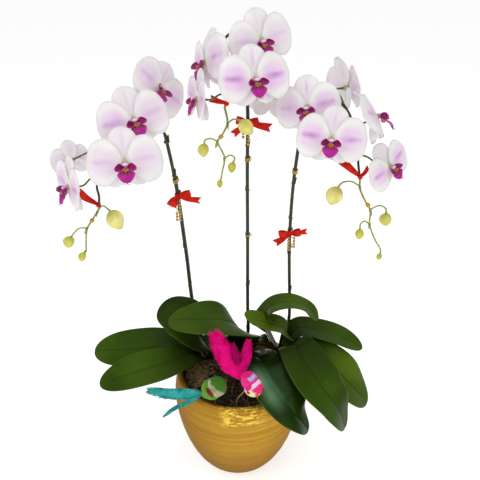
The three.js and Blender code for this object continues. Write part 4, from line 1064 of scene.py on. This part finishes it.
# The outlines of the fleshy base, in shares of its radius, and of each golden bump of the callus
LIP_BASE = [(0, -1), (0.6, -0.8), (0.95, -0.25), (0.95, 0.3), (0.55, 0.82), (0, 1)]
CALLUS = [[0, -1.2], [1.7, -0.6], [2.2, 0.8], [1.5, 2.4], [0, 3.0]]
# A tendril's points after its first, for the right one
TENDRIL = [(1.2, -1.6, 0.6), (3.2, -2.0, -0.4), (4.6, -0.6, -1.4), (4.4, 0.8, -0.8)]
SIDE_LOBE = {"claw": 0.2, "widest": 0.5, "shoulder": 0.8, "blunt": 2.2}
MIDLOBE = {"claw": 0.6, "widest": 0.36, "shoulder": 1.0, "blunt": 1.3}


def make_lip(name, node, values, skins):
    at, turn, tip, roll, size, *_ = values
    piece = Piece()
    _, y, z = LIP["base"]

    def lobe(hand):
        def surface(u, v):
            half = LIP["lobe"] / 2 * blade_width(u, **SIDE_LOBE) * v
            hollow = 0.8 * (1 - v**2) * np.sin(np.pi * u)
            x = hand * (1.6 + LIP["spread"] * np.sin(1.9 * u) + 0.6 * half + hollow)
            frill = 0.35 * np.sin(16 * u + hand) * v**2 * u
            top = y + LIP["rise"] * u**1.3 - 0.4 * half
            front = z + 1 + 3.4 * u + 0.7 * half + frill
            return np.stack([x, top, front], -1) * size

        return surface

    def midlobe(u, v):
        half = LIP["mid_width"] / 2 * blade_width(u, **MIDLOBE)
        along = LIP["midlobe"] * u
        fall = 0.7 + 0.5 * u
        keel = 1.3 * ridge(v, 0.16) * hump(u) ** 0.7
        curl = 0.5 * np.sin(12 * u + 2 * np.sign(v)) * v**2 * hump(u)
        depth = z + 1.5 + along * np.cos(fall) - 2 * v**2 * u + keel + curl
        return np.stack([half * v, y - 1 - along * np.sin(fall), depth], -1) * size

    for hand in (-1, 1):
        add_shell(piece, lobe(hand), blade_stations(18, SIDE_LOBE["widest"]), 13, 0.8, edge=0.5)
    add_shell(piece, midlobe, blade_stations(22, MIDLOBE["widest"]), 17, 0.8, share=1.0, edge=0.5)
    # the fleshy base, and the callus: two golden bumps between the side lobes
    base = np.array(LIP_BASE) * LIP["radius"] * size
    add_turned(piece, base, 16, np.array([0, y, z]) * size, (0, -0.5, 1), share=0.6, slot=1)
    for hand in (-1, 1):
        start = np.array([hand * 1.7, y + 0.6, z + 3.2]) * size
        add_turned(piece, np.array(CALLUS) * size, 14, start, (hand * 0.35, 0.35, 1), share=1.0, slot=1)
    # two short tendrils curl back from the midlobe's tip
    tip_at = midlobe(np.array(0.97), np.array(0.0)) / size
    for hand in (-1, 1):
        tendril = [tip_at] + [tip_at + [hand * right, top, front] for right, top, front in TENDRIL]
        add_tube(piece, Curve(np.array(tendril) * size), lambda t: 0.34 * size * (1 - 0.5 * t), 16, 6)
    piece.finish(name, skins, [node], "lip", bloom_turn(turn, tip, roll), at)


def make_blooms():
    petal, sepal = tepal_material("petal", 0.88), tepal_material("sepal", 0.45)
    hub = stem_material("hub", (0.30, 0.28, 0.10), (0.55, 0.48, 0.26), (0.42, 0.22, 0.24))
    column = column_material()
    lip = lip_material()
    for side, blooms in BLOOMS.items():
        draw = Draw(BLOOM_SEEDS[side])
        for k, values in enumerate(blooms):
            make_bloom(f"flower_{side}_{k + 1}", f"bloom_{side}_{k + 1}", values, draw, STREAKS[side][k],
                       [petal, sepal, hub, column])
            make_lip(f"labellum_{side}_{k + 1}", f"lip_{side}_{k + 1}", values, [lip, column])


# Bud sprays

SPRAYS = {
    "left": {
        "stalk": [(-196, -10, 445), (-202, -10, 436), (-208, -10, 427), (-212, -12, 404), (-213, -12, 394),
                  (-216, -12, 388)],
        "buds": [
            ([(-191, -10, 452), (-183, -11, 461), (-173, -13, 454)], 30, 12, 0.9),
            ([(-208, -10, 427), (-219, -11, 427), (-232, -12, 414)], 18, 8, 0.35),
            ([(-214, -12, 392), (-217, -12, 389)], 15, 5.5, 0.1),
        ],
    },
    "centre": {
        "stalk": [(-14, -7, 584), (-13, -8, 574), (-20, -9, 559), (-26, -10, 551), (-24, -10, 545),
                  (-17, -11, 529), (-20, -12, 512), (-22, -12, 500)],
        "buds": [
            ([(-13, -8, 574), (-5, -14, 581), (4, -19, 581)], 23, 9.2, 0.6),
            ([(-26, -10, 551), (-35, -11, 555), (-42, -12, 553), (-43, -12, 548)], 18, 7.5, 0.3),
            ([(-17, -11, 529), (-9, -12, 533), (-4, -12, 529), (-6, -12, 523)], 15, 5.5, 0.1),
            ([(-22, -12, 503), (-23, -12, 498)], 11, 4, 0.0),
        ],
    },
    "right": {
        "stalk": [(164, -5, 485), (173, -6, 466), (181, -7, 453), (182, -8, 432), (193, -9, 406),
                  (200, -9, 395), (202, -9, 388)],
        "buds": [
            ([(164, -5, 487), (151, -8, 495), (139, -10, 494), (134, -11, 488)], 27, 11.5, 0.8),
            ([(181, -7, 454), (193, -8, 460), (202, -8, 455), (203, -8, 448)], 19, 8.5, 0.35),
            ([(182, -8, 432), (174, -9, 437), (169, -10, 433), (169, -10, 425)], 16, 6, 0.1),
            ([(202, -9, 391), (201, -9, 386)], 10, 4, 0.0),
        ],
    },
}
# Where a gold clip goes round each spray's stalk
CLIPS = {"left": (-201, -9, 439), "centre": (-22, -9, 557), "right": (177, -9, 460)}
CLIP = {"radius": 0.85, "reach": SPRAY_RADIUS + 0.8, "turns": 3, "height": 4.4}
SCARRED_OVER = 5  # the branch of a bud leaves a scar where the bud's radius is over this


def add_bud(piece, stalk, length, radius, cream):
    before, end = np.array(stalk[-2], float), np.array(stalk[-1], float)
    direction = (unit(end - before) + [0, 0, -1]) / 2
    s = np.linspace(0, 1, 24)
    width = radius * np.sin(np.pi * s**0.85) ** 0.62
    profile = np.stack([np.where((s == 0) | (s == 1), 0, width), length * s - 0.5], -1)

    def folded(points, angle):
        """Three sepals meet in seams, and the bud bulges a little to one side."""
        seam = 1 - 0.07 * np.exp(-((np.mod(angle * 3 / (2 * math.pi), 1) - 0.5) ** 2) / 0.004)
        points[..., :2] *= seam[None, :, None] * (1 + 0.03 * np.cos(angle * 3))[None, :, None]
        points[..., 0] += 0.08 * radius * np.sin(np.pi * points[..., 2] / length)
        return points

    add_turned(piece, profile, 36, start=end, direction=direction, share=cream, slot=1, shape=folded)


def add_clip(piece, path, place, slot):
    """A few turns of soft wire round a stalk."""
    at, share = path.nearest(place)
    along = path.along(share)
    across = unit(np.cross(along, [0.0, 1.0, 0.0]))
    front = np.cross(along, across)
    angle = np.linspace(0, 2 * math.pi * CLIP["turns"], 60)
    half = CLIP["height"] / 2
    turns = at + CLIP["reach"] * (np.cos(angle)[:, None] * across + np.sin(angle)[:, None] * front)
    turns += along * np.linspace(-half, half, len(angle))[:, None]
    add_tube(piece, Curve(turns), CLIP["radius"], 90, 8, slot=slot)


def make_sprays():
    stalk_skin = stem_material("spray_stalk", (0.20, 0.28, 0.03), (0.40, 0.46, 0.08), (0.42, 0.22, 0.03))
    bud = bud_material()
    clip = gold_material("clip_gold", (0.55, 0.30, 0.02), (0.90, 0.52, 0.05), 800.0)
    for side, spray in SPRAYS.items():
        rachis = Curve(SPIKES[side]["rachis"])
        along = rachis.along(1.0)
        start = rachis.at(1.0) + along * 1.5 * CLEARANCE
        path = Curve([start, start + along * 3, *spray["stalk"]])
        piece = Piece()
        add_tube(piece, path, lambda t: SPRAY_RADIUS * (1.05 - 0.3 * t), 70, 10)
        for k, (stalk, length, radius, cream) in enumerate(spray["buds"]):
            foot, share = path.nearest(stalk[0])
            branch = Curve([foot, *stalk[1:]])
            add_tube(piece, branch, lambda t: BUD_STALK_RADIUS * (0.95 + 0.4 * t**6), 24, 8)
            if radius > SCARRED_OVER:
                add_node(piece, path, share, SPRAY_RADIUS, 1.7 * k, 0.25)
            add_bud(piece, stalk, length, radius, cream)
        add_clip(piece, path, CLIPS[side], 2)
        piece.finish(f"spray_{side}", [stalk_skin, bud, clip], [f"buds_{side}"], "bud")


# Stakes, gold wire ties and the red bows

STAKES = {
    "left": [(-57, 42, 134), (-61, 45, 200), (-68, 51, 238), (-73, 57, 274), (-77, 50, 349), (-79, 40, 390),
             (-82, 26, 449), (-86, 13, 505)],
    "centre": [(14, 47, 134), (15, 45, 190), (17, 36, 232), (16, 32, 270), (15, 27, 400), (14, 21, 502),
               (14, 17, 560)],
    "right": [(70, 36, 134), (75, 43, 196), (81, 50, 236), (83, 54, 266), (80, 48, 323), (77, 35, 381),
              (76, 22, 437), (77, 12, 488), (78, 9, 520)],
}
# Height and turns of each stem's ties: the one of the solids, and lighter ones
TIES = {"left": [(489, 6)], "centre": [(518, 6), (400, 3), (581, 2)], "right": [(504, 6), (376, 2)]}
BAND = {"height": 5, "thickness": 1.0}
WIRE = {"radius": 0.42, "reach": STEM_RADIUS + 0.75, "pitch": 0.92}
THREAD = {"strand": 0.4, "link": 0.45}  # its radius in a strand, and from one strand to the other
# The height of each bow, how far its loops and tails reach to the right and up and how wide they are, and
# where its strands of beads hang and how many beads each has
BOWS = {
    "left": {"height": 466, "loops": [((-9, -15), 14), ((19, 3), 12)], "tails": [((33, -7), 10)],
             "strands": [(3, -5, 7), (-1.5, -24, 3)]},
    "centre": {"height": 572, "loops": [((14, 1), 10), ((-15, 3), 10)],
               "tails": [((31, -8), 12), ((-20, -17), 10)], "strands": [(1, -8, 5), (-6, -8, 3)]},
    "right": {"height": 405, "loops": [((-16, -3), 13), ((15, 2), 11)],
              "tails": [((-22, -17), 12), ((25, 3), 9)], "strands": [(-2, -5, 5), (6, -5.5, 4)]},
}
# How far each tail of ribbon at the end of a rachis reaches to the right and up, and how wide it is
SPRAY_RIBBONS = {
    "left": [((-27, 19), 14)],
    "centre": [((-21, 6), 9)],
    "right": [((-27, 23), 12), ((11, 14), 7)],
}
SPRAY_KNOT_AT = 0.985
KNOT_RADIUS = 3.2
KNOT_REACH = STEM_RADIUS + KNOT_RADIUS + 0.6
RIBBON_NECK = 3
LOOP_DEPTH = 3.5
BEAD = {"radius": 2.0, "pitch": 4.8}


class Pair:
    """A stem and its stake side by side at a height, and the directions of an oval round both."""

    def __init__(self, side, z):
        stem, stake = Curve(SPIKES[side]["stem"]), Curve(STAKES[side])
        self.stem = stem.at(stem.share_at(z))
        across = stake.at(stake.share_at(z)) - self.stem
        self.up = stem.along(stem.share_at(z))
        self.reach = np.linalg.norm(across) / 2
        self.right = unit(across - self.up * (across @ self.up))
        self.front = np.cross(self.up, self.right)
        self.middle = self.stem + across / 2

    def oval(self, angle, radius, rise):
        """Points round both rods at a radius from their axes."""
        angle = np.asarray(angle, float)
        x = np.cos(angle)
        straight = self.reach * np.clip(x * 3, -1, 1)
        return (self.middle + self.right * (straight + radius * x)[..., None]
                + self.front * (radius * np.sin(angle))[..., None] + self.up * np.asarray(rise)[..., None])


def add_winding(piece, pair, turns):
    """Wire wound round stem and stake, its two ends twisted out in front."""
    angle = np.linspace(-math.pi / 2, -math.pi / 2 + 2 * math.pi * turns, 20 * turns)
    half = WIRE["pitch"] * turns / 2
    path = pair.oval(angle, WIRE["reach"], np.linspace(-half, half, len(angle)))
    out = unit(path[0] - pair.middle)
    first = path[0] + out * 3 + pair.up * 1.5
    last = path[-1] + out * 3.4 - pair.up * 1.2
    add_tube(piece, Curve(np.vstack([[first], path, [last]])), WIRE["radius"], 24 * turns, 7)


def make_stakes_and_ties():
    coat = stem_material("stake_coat", (0.006, 0.014, 0.006), (0.03, 0.05, 0.02), (0.02, 0.02, 0.012))
    wire = gold_material("tie_wire", (0.34, 0.19, 0.03), (0.80, 0.52, 0.12), 900.0)
    for side, points in STAKES.items():
        piece = Piece()
        path = Curve(points)
        add_tube(piece, path, STAKE_RADIUS, 110, 12)
        piece.finish(f"rod_{side}", [coat], [f"stake_{side}"], "stake")
        tie = Piece()
        for z, turns in TIES[side]:
            add_winding(tie, Pair(side, z), turns)
        tie.finish(f"wire_{side}", [wire], [f"tie_{side}"], "tie")


def ribbon_path(knot, reach, points):
    dx, dz = reach
    return Curve([[knot[0] + dx * share, knot[1] - depth, knot[2] + dz * share] for share, depth in points])


def add_ribbon(piece, knot, reach, width, is_loop, seed):
    """One side of a bow: out in front, round and back behind for a loop, or straight out to a notched end. It
    returns the ribbon's area."""
    deep = LOOP_DEPTH
    loop = [(0.05, 0.6), (0.3, 2.6), (0.6, deep), (0.88, deep * 0.62), (1, 0.2), (0.9, -deep * 0.5),
            (0.6, 0.8 - deep), (0.3, -1.9), (0.05, -0.6)]
    tail = [(0.05, 0.6), (0.28, 2.2), (0.5, 2.4), (0.75, 0.6), (1, 0.0)]
    path = ribbon_path(knot, reach, loop if is_loop else tail)
    across = unit([-reach[1], 0, reach[0]])

    def surface(u, v):
        if is_loop:
            width_here = RIBBON_NECK + (width - RIBBON_NECK) * hump(u) ** 0.55
            gather = np.exp(-u / 0.16) + np.exp(-(1 - u) / 0.16)
            reached = u
        else:
            width_here = RIBBON_NECK + (width - RIBBON_NECK) * np.clip(u, 0, 1) ** 0.6
            gather = np.exp(-u / 0.3)
            reached = u * (1 - 0.12 * (1 - np.abs(v)) * np.clip(u, 0, 1) ** 4)
        along = path.along(reached)
        side = unit(across - along * (along @ across)[..., None])
        normal = np.cross(along, side)
        fold = 0.9 * gather * np.cos(9 * v + seed) + 0.5 * np.sin(7 * u + 2.5 * v + seed) * np.abs(v)
        fold += 0.35 * np.cos(np.pi * v)
        shape = side * (width_here / 2 * v)[..., None] + normal * fold[..., None]
        return path.at(reached) + shape

    add_shell(piece, surface, np.linspace(0, 1, 56 if is_loop else 36), 17, 0.45, edge=0.8)
    return path.length * (RIBBON_NECK + width) / 2


def add_knot(piece, knot, seed):
    """A ribbon pulled tight over itself: a puckered ball with creases towards both sides."""
    profile = ball_profile(KNOT_RADIUS * 1.12, 15, 0.95, 0.8)

    def creased(points, angle):
        deep = 1 + 0.09 * np.sin(9 * angle + seed) + 0.05 * np.sin(17 * angle)
        points[..., :2] *= deep[None, :, None]
        return points

    add_turned(piece, profile, 40, start=knot, direction=(1, 0.1, 0.15), shape=creased)


def add_wrap(piece, pair):
    """The ribbon round stem and stake behind a knot."""
    angle = np.linspace(0, 2 * math.pi, 48, endpoint=False)
    inner, outer = STEM_RADIUS + 0.4, STEM_RADIUS + 0.4 + BAND["thickness"]
    half = BAND["height"] / 2
    rows = [(inner, -half), (outer - 0.2, -half), (outer, -half * 0.6), (outer - 0.25, 0),
            (outer, half * 0.6), (outer - 0.2, half), (inner, half), (inner, 0)]
    points = np.stack([pair.oval(angle, radius, np.full(len(angle), rise)) for radius, rise in rows])
    faces = grid_faces(len(rows), len(angle), closed=True)
    count = len(angle)
    last = (len(rows) - 1) * count
    faces += [(last + j, last + (j + 1) % count, (j + 1) % count, j) for j in range(count)]
    blade = np.stack(np.broadcast_arrays(angle[None] / 6, np.linspace(-1, 1, len(rows))[:, None], 0.0), -1)
    piece.add(points, faces, blade.reshape(-1, 3))


def finish_ribbons(piece, name, satin, node):
    """Finishes a bow's or streamer's ribbons as one satin piece in place of its node."""
    made = piece.finish(name, [satin], [node], "ribbon")


def make_bows():
    satin = satin_material()
    for side, bow in BOWS.items():
        pair = Pair(side, bow["height"])
        knot = pair.stem - [0, KNOT_REACH, 0]
        cloth, tied = Piece(), Piece()
        ribbons = [(*loop, True, 1.3 * k) for k, loop in enumerate(bow["loops"])]
        ribbons += [(*tail, False, 2.1 * k + 0.7) for k, tail in enumerate(bow["tails"])]
        area = sum(add_ribbon(cloth, knot, *ribbon) for ribbon in ribbons)
        finish_ribbons(cloth, f"bow_loops_{side}", satin, f"bow_{side}")
        add_knot(tied, knot, 0.4)
        add_wrap(tied, pair)
        tied.finish(f"bow_knot_{side}", [satin], [f"bow_{side}"], "ribbon")
    for side, tails in SPRAY_RIBBONS.items():
        rachis = Curve(SPIKES[side]["rachis"])
        knot = rachis.at(SPRAY_KNOT_AT) - [0, RACHIS_RADIUS + KNOT_RADIUS - CLEARANCE, 0]
        cloth, tied = Piece(), Piece()
        area = sum(add_ribbon(cloth, knot, *tail, False, 1.9 * k) for k, tail in enumerate(tails))
        finish_ribbons(cloth, f"streamer_{side}", satin, f"ribbon_{side}")
        add_knot(tied, knot, 1.1)
        tied.finish(f"streamer_knot_{side}", [satin], [f"ribbon_{side}"], "ribbon")


def make_beads():
    gold = gold_material("bead_gold", (0.32, 0.18, 0.03), (0.78, 0.52, 0.13), 700.0)
    profile = ball_profile(BEAD["radius"] * 1.04, 11)
    under_knot = -KNOT_RADIUS - CLEARANCE - 1
    for side, bow in BOWS.items():
        stem = Pair(side, bow["height"]).stem
        y = stem[1] - KNOT_REACH
        piece = Piece()
        for x, z, beads in bow["strands"]:
            x, z = stem[0] + x, stem[2] + z
            for i in range(beads):
                add_turned(piece, profile, 16, start=[x, y, z - (i + 0.5) * BEAD["pitch"]])
            strand = Curve([[x, y, z], [x, y, z - (beads - 0.5) * BEAD["pitch"]]])
            add_tube(piece, strand, THREAD["strand"], 12, 6)
        (x0, z0, _), (x1, z1, _) = bow["strands"]
        link = [[x1, 0, z1 - 1], [x1 * 0.7, 0, min(under_knot, z0) - 2], [x0, 0, z0 - 1]]
        thread = np.array(link) + [stem[0], y, stem[2]]
        add_tube(piece, Curve(thread), THREAD["link"], 20, 6)
        piece.finish(f"bead_strings_{side}", [gold], [f"beads_{side}"], "bead")


# Craft birds on wire picks, with dyed feathers at their tails. blunt is how round their feathers end, and the
# colours are those of the body, back, belly and rump, of the cap, cheek and neck, and of the feathers
BIRDS = {
    "pink": {
        "tail": (9, -88, 238),
        "head": (23, -98, 219),
        "body": 12,
        "skull": 12,
        "gaze": (0.3, -0.93, -0.2),
        "pick": [(19, -92, 222), (7, -86, 200), (-1, -79, 181), (-3, -74, 148)],
        "blunt": 1.3,
        "skin": ((0.92, 0.035, 0.28), (0.42, 0.50, 0.86), (0.80, 0.30, 0.45), (0.80, 0.01, 0.2)),
        "head_skin": ((0.92, 0.02, 0.24), (0.80, 0.74, 0.42), (0.92, 0.70, 0.85)),
        "dye": "pink",
        "plume": ((0.72, 0.002, 0.16), (0.98, 0.008, 0.27)),
        # each one's spine, width and how dim it is
        "feathers": [
            ([(4, -88, 226), (-8, -86, 247), (-22, -81, 273), (-33, -75, 297)], 35, 0.0),
            ([(0, -86, 247), (0, -91, 257), (-4, -89, 271), (-7, -85, 286)], 14, 0.75),
            ([(-1, -87, 237), (5, -91, 248), (11, -88, 265), (15, -81, 289)], 19, 0.25),
        ],
    },
    "green": {
        "tail": (-49, -79, 193),
        "head": (-29, -84, 211),
        "body": 15,
        "skull": 13,
        "gaze": (0.75, 0.62, 0.1),
        "pick": [(-36, -78, 196), (-34, -76, 178), (-33, -72, 148)],
        "blunt": 2.0,
        "skin": ((0.10, 0.36, 0.015), (0.15, 0.42, 0.02), (0.14, 0.006, 0.01), (0.2, 0.003, 0.004)),
        "head_skin": ((0.05, 0.18, 0.01), (0.42, 0.36, 0.22), (0.50, 0.60, 0.34)),
        "dye": "teal",
        "plume": ((0.02, 0.30, 0.29), (0.07, 0.52, 0.46)),
        "feathers": [
            ([(-51, -79, 191), (-75, -84, 194), (-102, -88, 199), (-129, -91, 208)], 24, 0.0),
            ([(-51, -79, 191), (-69, -88, 184), (-89, -97, 181), (-108, -103, 169)], 9, 0.2),
        ],
    },
}
FEATHER_SEED = 9
# Places from a bird's tail at 0 to its head at 1, and its breadth there as a share of its widest
BIRD_OUTLINE = [(-0.1, 0.0), (0.0, 0.42), (0.12, 0.66), (0.3, 0.9), (0.5, 1.0), (0.72, 0.97), (0.95, 0.82),
                (1.1, 0.5), (1.2, 0.0)]
EYE_RING = [[0, -1.0], [2.2, -0.6], [2.9, 0.0], [2.2, 0.4], [0, 0.5]]
PUPIL = [[0, -0.4], [1.2, 0.2], [1.5, 0.6], [0.9, 1.1], [0, 1.3]]
PICK_RADIUS = 0.9
DOWN = 1.6  # how far the fluff of a head stands out
BEAK = {"radius": 2.6, "length": 8}
CAP_SIDE = (0.6, 0.1, 0.8)  # the side of a bird's head that has its cap
PLUME = {"claw": 0.2, "widest": 0.35, "shoulder": 1.0}


def shade_towards(piece, centre, direction):
    """Gives the last added part its share: 1 on the side that faces the direction, 0 on the other."""
    blade = np.array(piece.blade[-1])
    blade[:, 2] = 0.5 + 0.5 * unit(piece.points[-1] - centre) @ unit(direction)
    piece.blade[-1] = blade


def add_bird_body(piece, tail, head, body, skull):
    tail, head = np.array(tail, float), np.array(head, float)
    axis = unit(head - tail)
    length = np.linalg.norm(head - tail)
    s = np.linspace(-0.1, 1.2, 34)
    width = np.interp(s, *zip(*BIRD_OUTLINE))
    width = np.convolve(np.pad(width, 1, mode="edge"), [0.25, 0.5, 0.25], "valid")
    width[0] = width[-1] = 0
    profile = np.stack([width * body, s * length], -1)

    def ruffled(points, angle):
        """Rows of short overlapping down, in low relief."""
        row = points[..., 2:3] / 2.6
        tuft = np.abs(np.sin(angle[None, :, None] * 9 + np.floor(row) * math.pi / 2))
        points[..., :2] *= 1 + 0.05 * np.mod(row, 1) * tuft
        return points

    add_turned(piece, profile, 56, start=tail, direction=axis, shape=ruffled)
    shade_towards(piece, (tail + head) / 2, UP)
    add_turned(piece, ball_profile(skull + DOWN, 25), 44, start=head - axis * DOWN, direction=axis, slot=4)
    shade_towards(piece, head, CAP_SIDE)
    return tail, head, axis


def add_face(piece, head, skull, gaze):
    """A beak and two ringed eyes beside it."""
    gaze = unit(gaze)
    radius, length = BEAK["radius"], BEAK["length"]
    cone = [[0, 0], [radius, 0.2], [radius * 0.8, length * 0.3], [radius * 0.45, length * 0.7], [0, length]]
    add_turned(piece, cone, 16, start=head + gaze * (skull - 2), direction=gaze, slot=2)
    for hand in (-1, 1):
        outward = unit(gaze * 0.62 + unit(np.cross(gaze, UP)) * hand * 0.78 + UP * 0.12)
        for profile, slot in ((EYE_RING, 2), (PUPIL, 3)):
            add_turned(piece, profile, 18, head + outward * (skull - 0.1), outward, slot=slot)


def add_wing(piece, head, tail, axis, body, hand):
    """A folded wing on the bird's side: a curved shell that hugs the body and narrows towards the tail."""
    side = unit(np.cross(axis, UP)) * hand
    top = np.cross(side, axis) * hand
    centre = tail + (head - tail) * 0.86
    reach = np.linalg.norm(head - tail) * 0.8

    def surface(u, v):
        width = body * 0.62 * hump(0.12 + 0.88 * u) ** 0.7
        angle = 0.25 + v * width / body
        away = body * (1.03 - 0.38 * u**2) + 0.7
        scallop = 0.4 * np.sin(16 * u + 5 * v) * v**2
        return (centre - axis * (reach * u)[..., None] + side * ((away + scallop) * np.cos(angle))[..., None]
                + top * (away * np.sin(angle))[..., None])

    add_shell(piece, surface, np.linspace(0, 1, 20), 13, 0.9, 0.5, edge=0.5)


def add_feather(piece, spine, width, dim, blunt, rng):
    """A shaft in a soft vane, fringed with the loose ends of its barbs, which part here and there."""
    curve = Curve(spine)
    back = np.array([0, 1.0, 0])
    add_tube(piece, curve, lambda t: 0.75 - 0.5 * t, 40, 7, share=dim)

    def vane(u, v):
        side = unit(np.cross([0, -1, 0], curve.along(u)))
        parting = 0.10 * np.clip(np.sin(31 * u + 2.4 * np.sign(v)), 0, 1) ** 4
        half = width / 2 * blade_width(u, **PLUME, blunt=blunt) * (0.93 - parting)
        ruffle = 0.5 * np.sin(17 * u + 6 * v) * np.abs(v)
        return curve.at(u) + side * (half * v)[..., None] + back * (2 * v**2 + ruffle)[..., None]

    add_shell(piece, vane, blade_stations(60, PLUME["widest"]), 15, 0.5, dim)
    count = int(curve.length * 1.7)
    for hand in (-1, 1):
        lost = rng.uniform(0, 1, count) < 0.08
        for k, t in enumerate(np.linspace(0.08, 0.985, count)):
            if lost[k]:
                continue
            along = curve.along(t)
            side = unit(np.cross([0, -1, 0], along)) * hand
            half = width / 2 * float(blade_width(np.array(t), **PLUME, blunt=blunt)) * rng.uniform(0.86, 1.0)
            lean = 0.55 + 0.45 * t + rng.normal(0, 0.05)
            out = side * math.cos(lean) + along * math.sin(lean)
            reach = half / math.cos(lean)
            root = curve.at(t) + out * reach * 0.35 + back * 0.4
            curl = back * rng.uniform(0.6, 1.4)
            points = [root, root + out * reach * 0.3 + back * 0.5, root + out * reach * 0.62 + curl]
            add_tube(piece, Curve(points), lambda s: 0.42 * (1 - 0.6 * s), 5, 4, share=dim)


def make_birds():
    wire = bark_material("pick_wire", (0.20, 0.12, 0.05), (0.50, 0.34, 0.16), 500.0)
    beak = gold_material("beak", (0.60, 0.05, 0.01), (0.85, 0.16, 0.03), 400.0)
    eye = gold_material("eye", (0.01, 0.01, 0.01), (0.04, 0.03, 0.03), 900.0)
    for name, bird in BIRDS.items():
        piece = Piece()
        tail, head, axis = add_bird_body(piece, bird["tail"], bird["head"], bird["body"], bird["skull"])
        for hand in (-1, 1):
            add_wing(piece, head, tail, axis, bird["body"], hand)
        add_face(piece, head - axis * DOWN, bird["skull"] + DOWN, bird["gaze"])
        add_tube(piece, Curve(bird["pick"]), PICK_RADIUS, 40, 10, share=0.2, slot=1)
        skin = bird_material(f"bird_{name}", *bird["skin"])
        head_skin = bird_head_material(f"bird_{name}_head", *bird["head_skin"])
        piece.finish(f"songbird_{name}", [skin, wire, beak, eye, head_skin], [f"bird_{name}"], f"bird_{name}")
        rng = np.random.default_rng(FEATHER_SEED)
        feathers = Piece()
        for spine, width, dim in bird["feathers"]:
            add_feather(feathers, spine, width, dim, bird["blunt"], rng)
        plume = plume_material(f"plume_{bird['dye']}", *bird["plume"])
        feathers.finish(f"plumes_{name}", [plume], [f"feathers_{name}"], f"feather_{bird['dye']}")


# Camera, floor and light

CAMERA = {"place": (0.003, -0.749, 0.785), "tilt": 63, "view": 44}
FLOOR_HALF = 20
WORLD_LIGHT = 0.45
LAMP_AIM = (0, 0, 0.35)
# Each lamp's place, size and power
LAMPS = {
    "key": ((-0.9, -1.1, 1.9), 1.4, 13.0),
    "fill": ((1.3, -1.0, 1.2), 1.4, 5.0),
    "top": ((0.1, 0.3, 2.2), 1.6, 8.0),
}


def make_camera():
    data = bpy.data.cameras.new("camera")
    data.angle = math.radians(CAMERA["view"])
    data.clip_end = 200
    camera = link_object("camera", data)
    camera.location = CAMERA["place"]
    camera.rotation_euler = (math.radians(CAMERA["tilt"]), 0, 0)
    bpy.context.scene.camera = camera


def make_floor():
    s = Shader("floor_paper", Roughness=0.9, Specular_IOR_Level=0.2, Emission_Color=(1.0, 1.0, 1.0),
               Emission_Strength=0.62)
    fleck = s.noise(8.0, 3.0, 0.5)
    colour = s.mix(s.rise(fleck, 0.4, 0.6), (0.76, 0.76, 0.76), (0.78, 0.78, 0.78))
    s.set(s.surface, "Base Color", colour)
    mesh = bpy.data.meshes.new("floor")
    corners = [(x * FLOOR_HALF, y * FLOOR_HALF, 0) for x, y in ((-1, -1), (1, -1), (1, 1), (-1, 1))]
    mesh.from_pydata(corners, [], [(0, 1, 2, 3)])
    mesh.materials.append(s.material)
    floor = link_object("floor", mesh)


def make_light():
    scene = bpy.context.scene
    world = bpy.data.worlds.new("studio")
    world.use_nodes = True
    background = world.node_tree.nodes["Background"]
    background.inputs["Color"].default_value = (1, 1, 1, 1)
    background.inputs["Strength"].default_value = WORLD_LIGHT
    scene.world = world
    for name, (place, size, power) in LAMPS.items():
        data = bpy.data.lights.new(name, "AREA")
        data.size = size
        data.energy = power
        lamp = link_object(name, data)
        lamp.location = place
        lamp.rotation_euler = (Vector(LAMP_AIM) - Vector(place)).to_track_quat("-Z", "Y").to_euler()
    scene.view_settings.view_transform = "Standard"


make_camera()
make_floor()
make_light()
make_pot()
make_medium()
make_plants()
make_spikes()
make_blooms()
make_sprays()
make_stakes_and_ties()
make_bows()
make_beads()
make_birds()

bpy.context.view_layer.update()
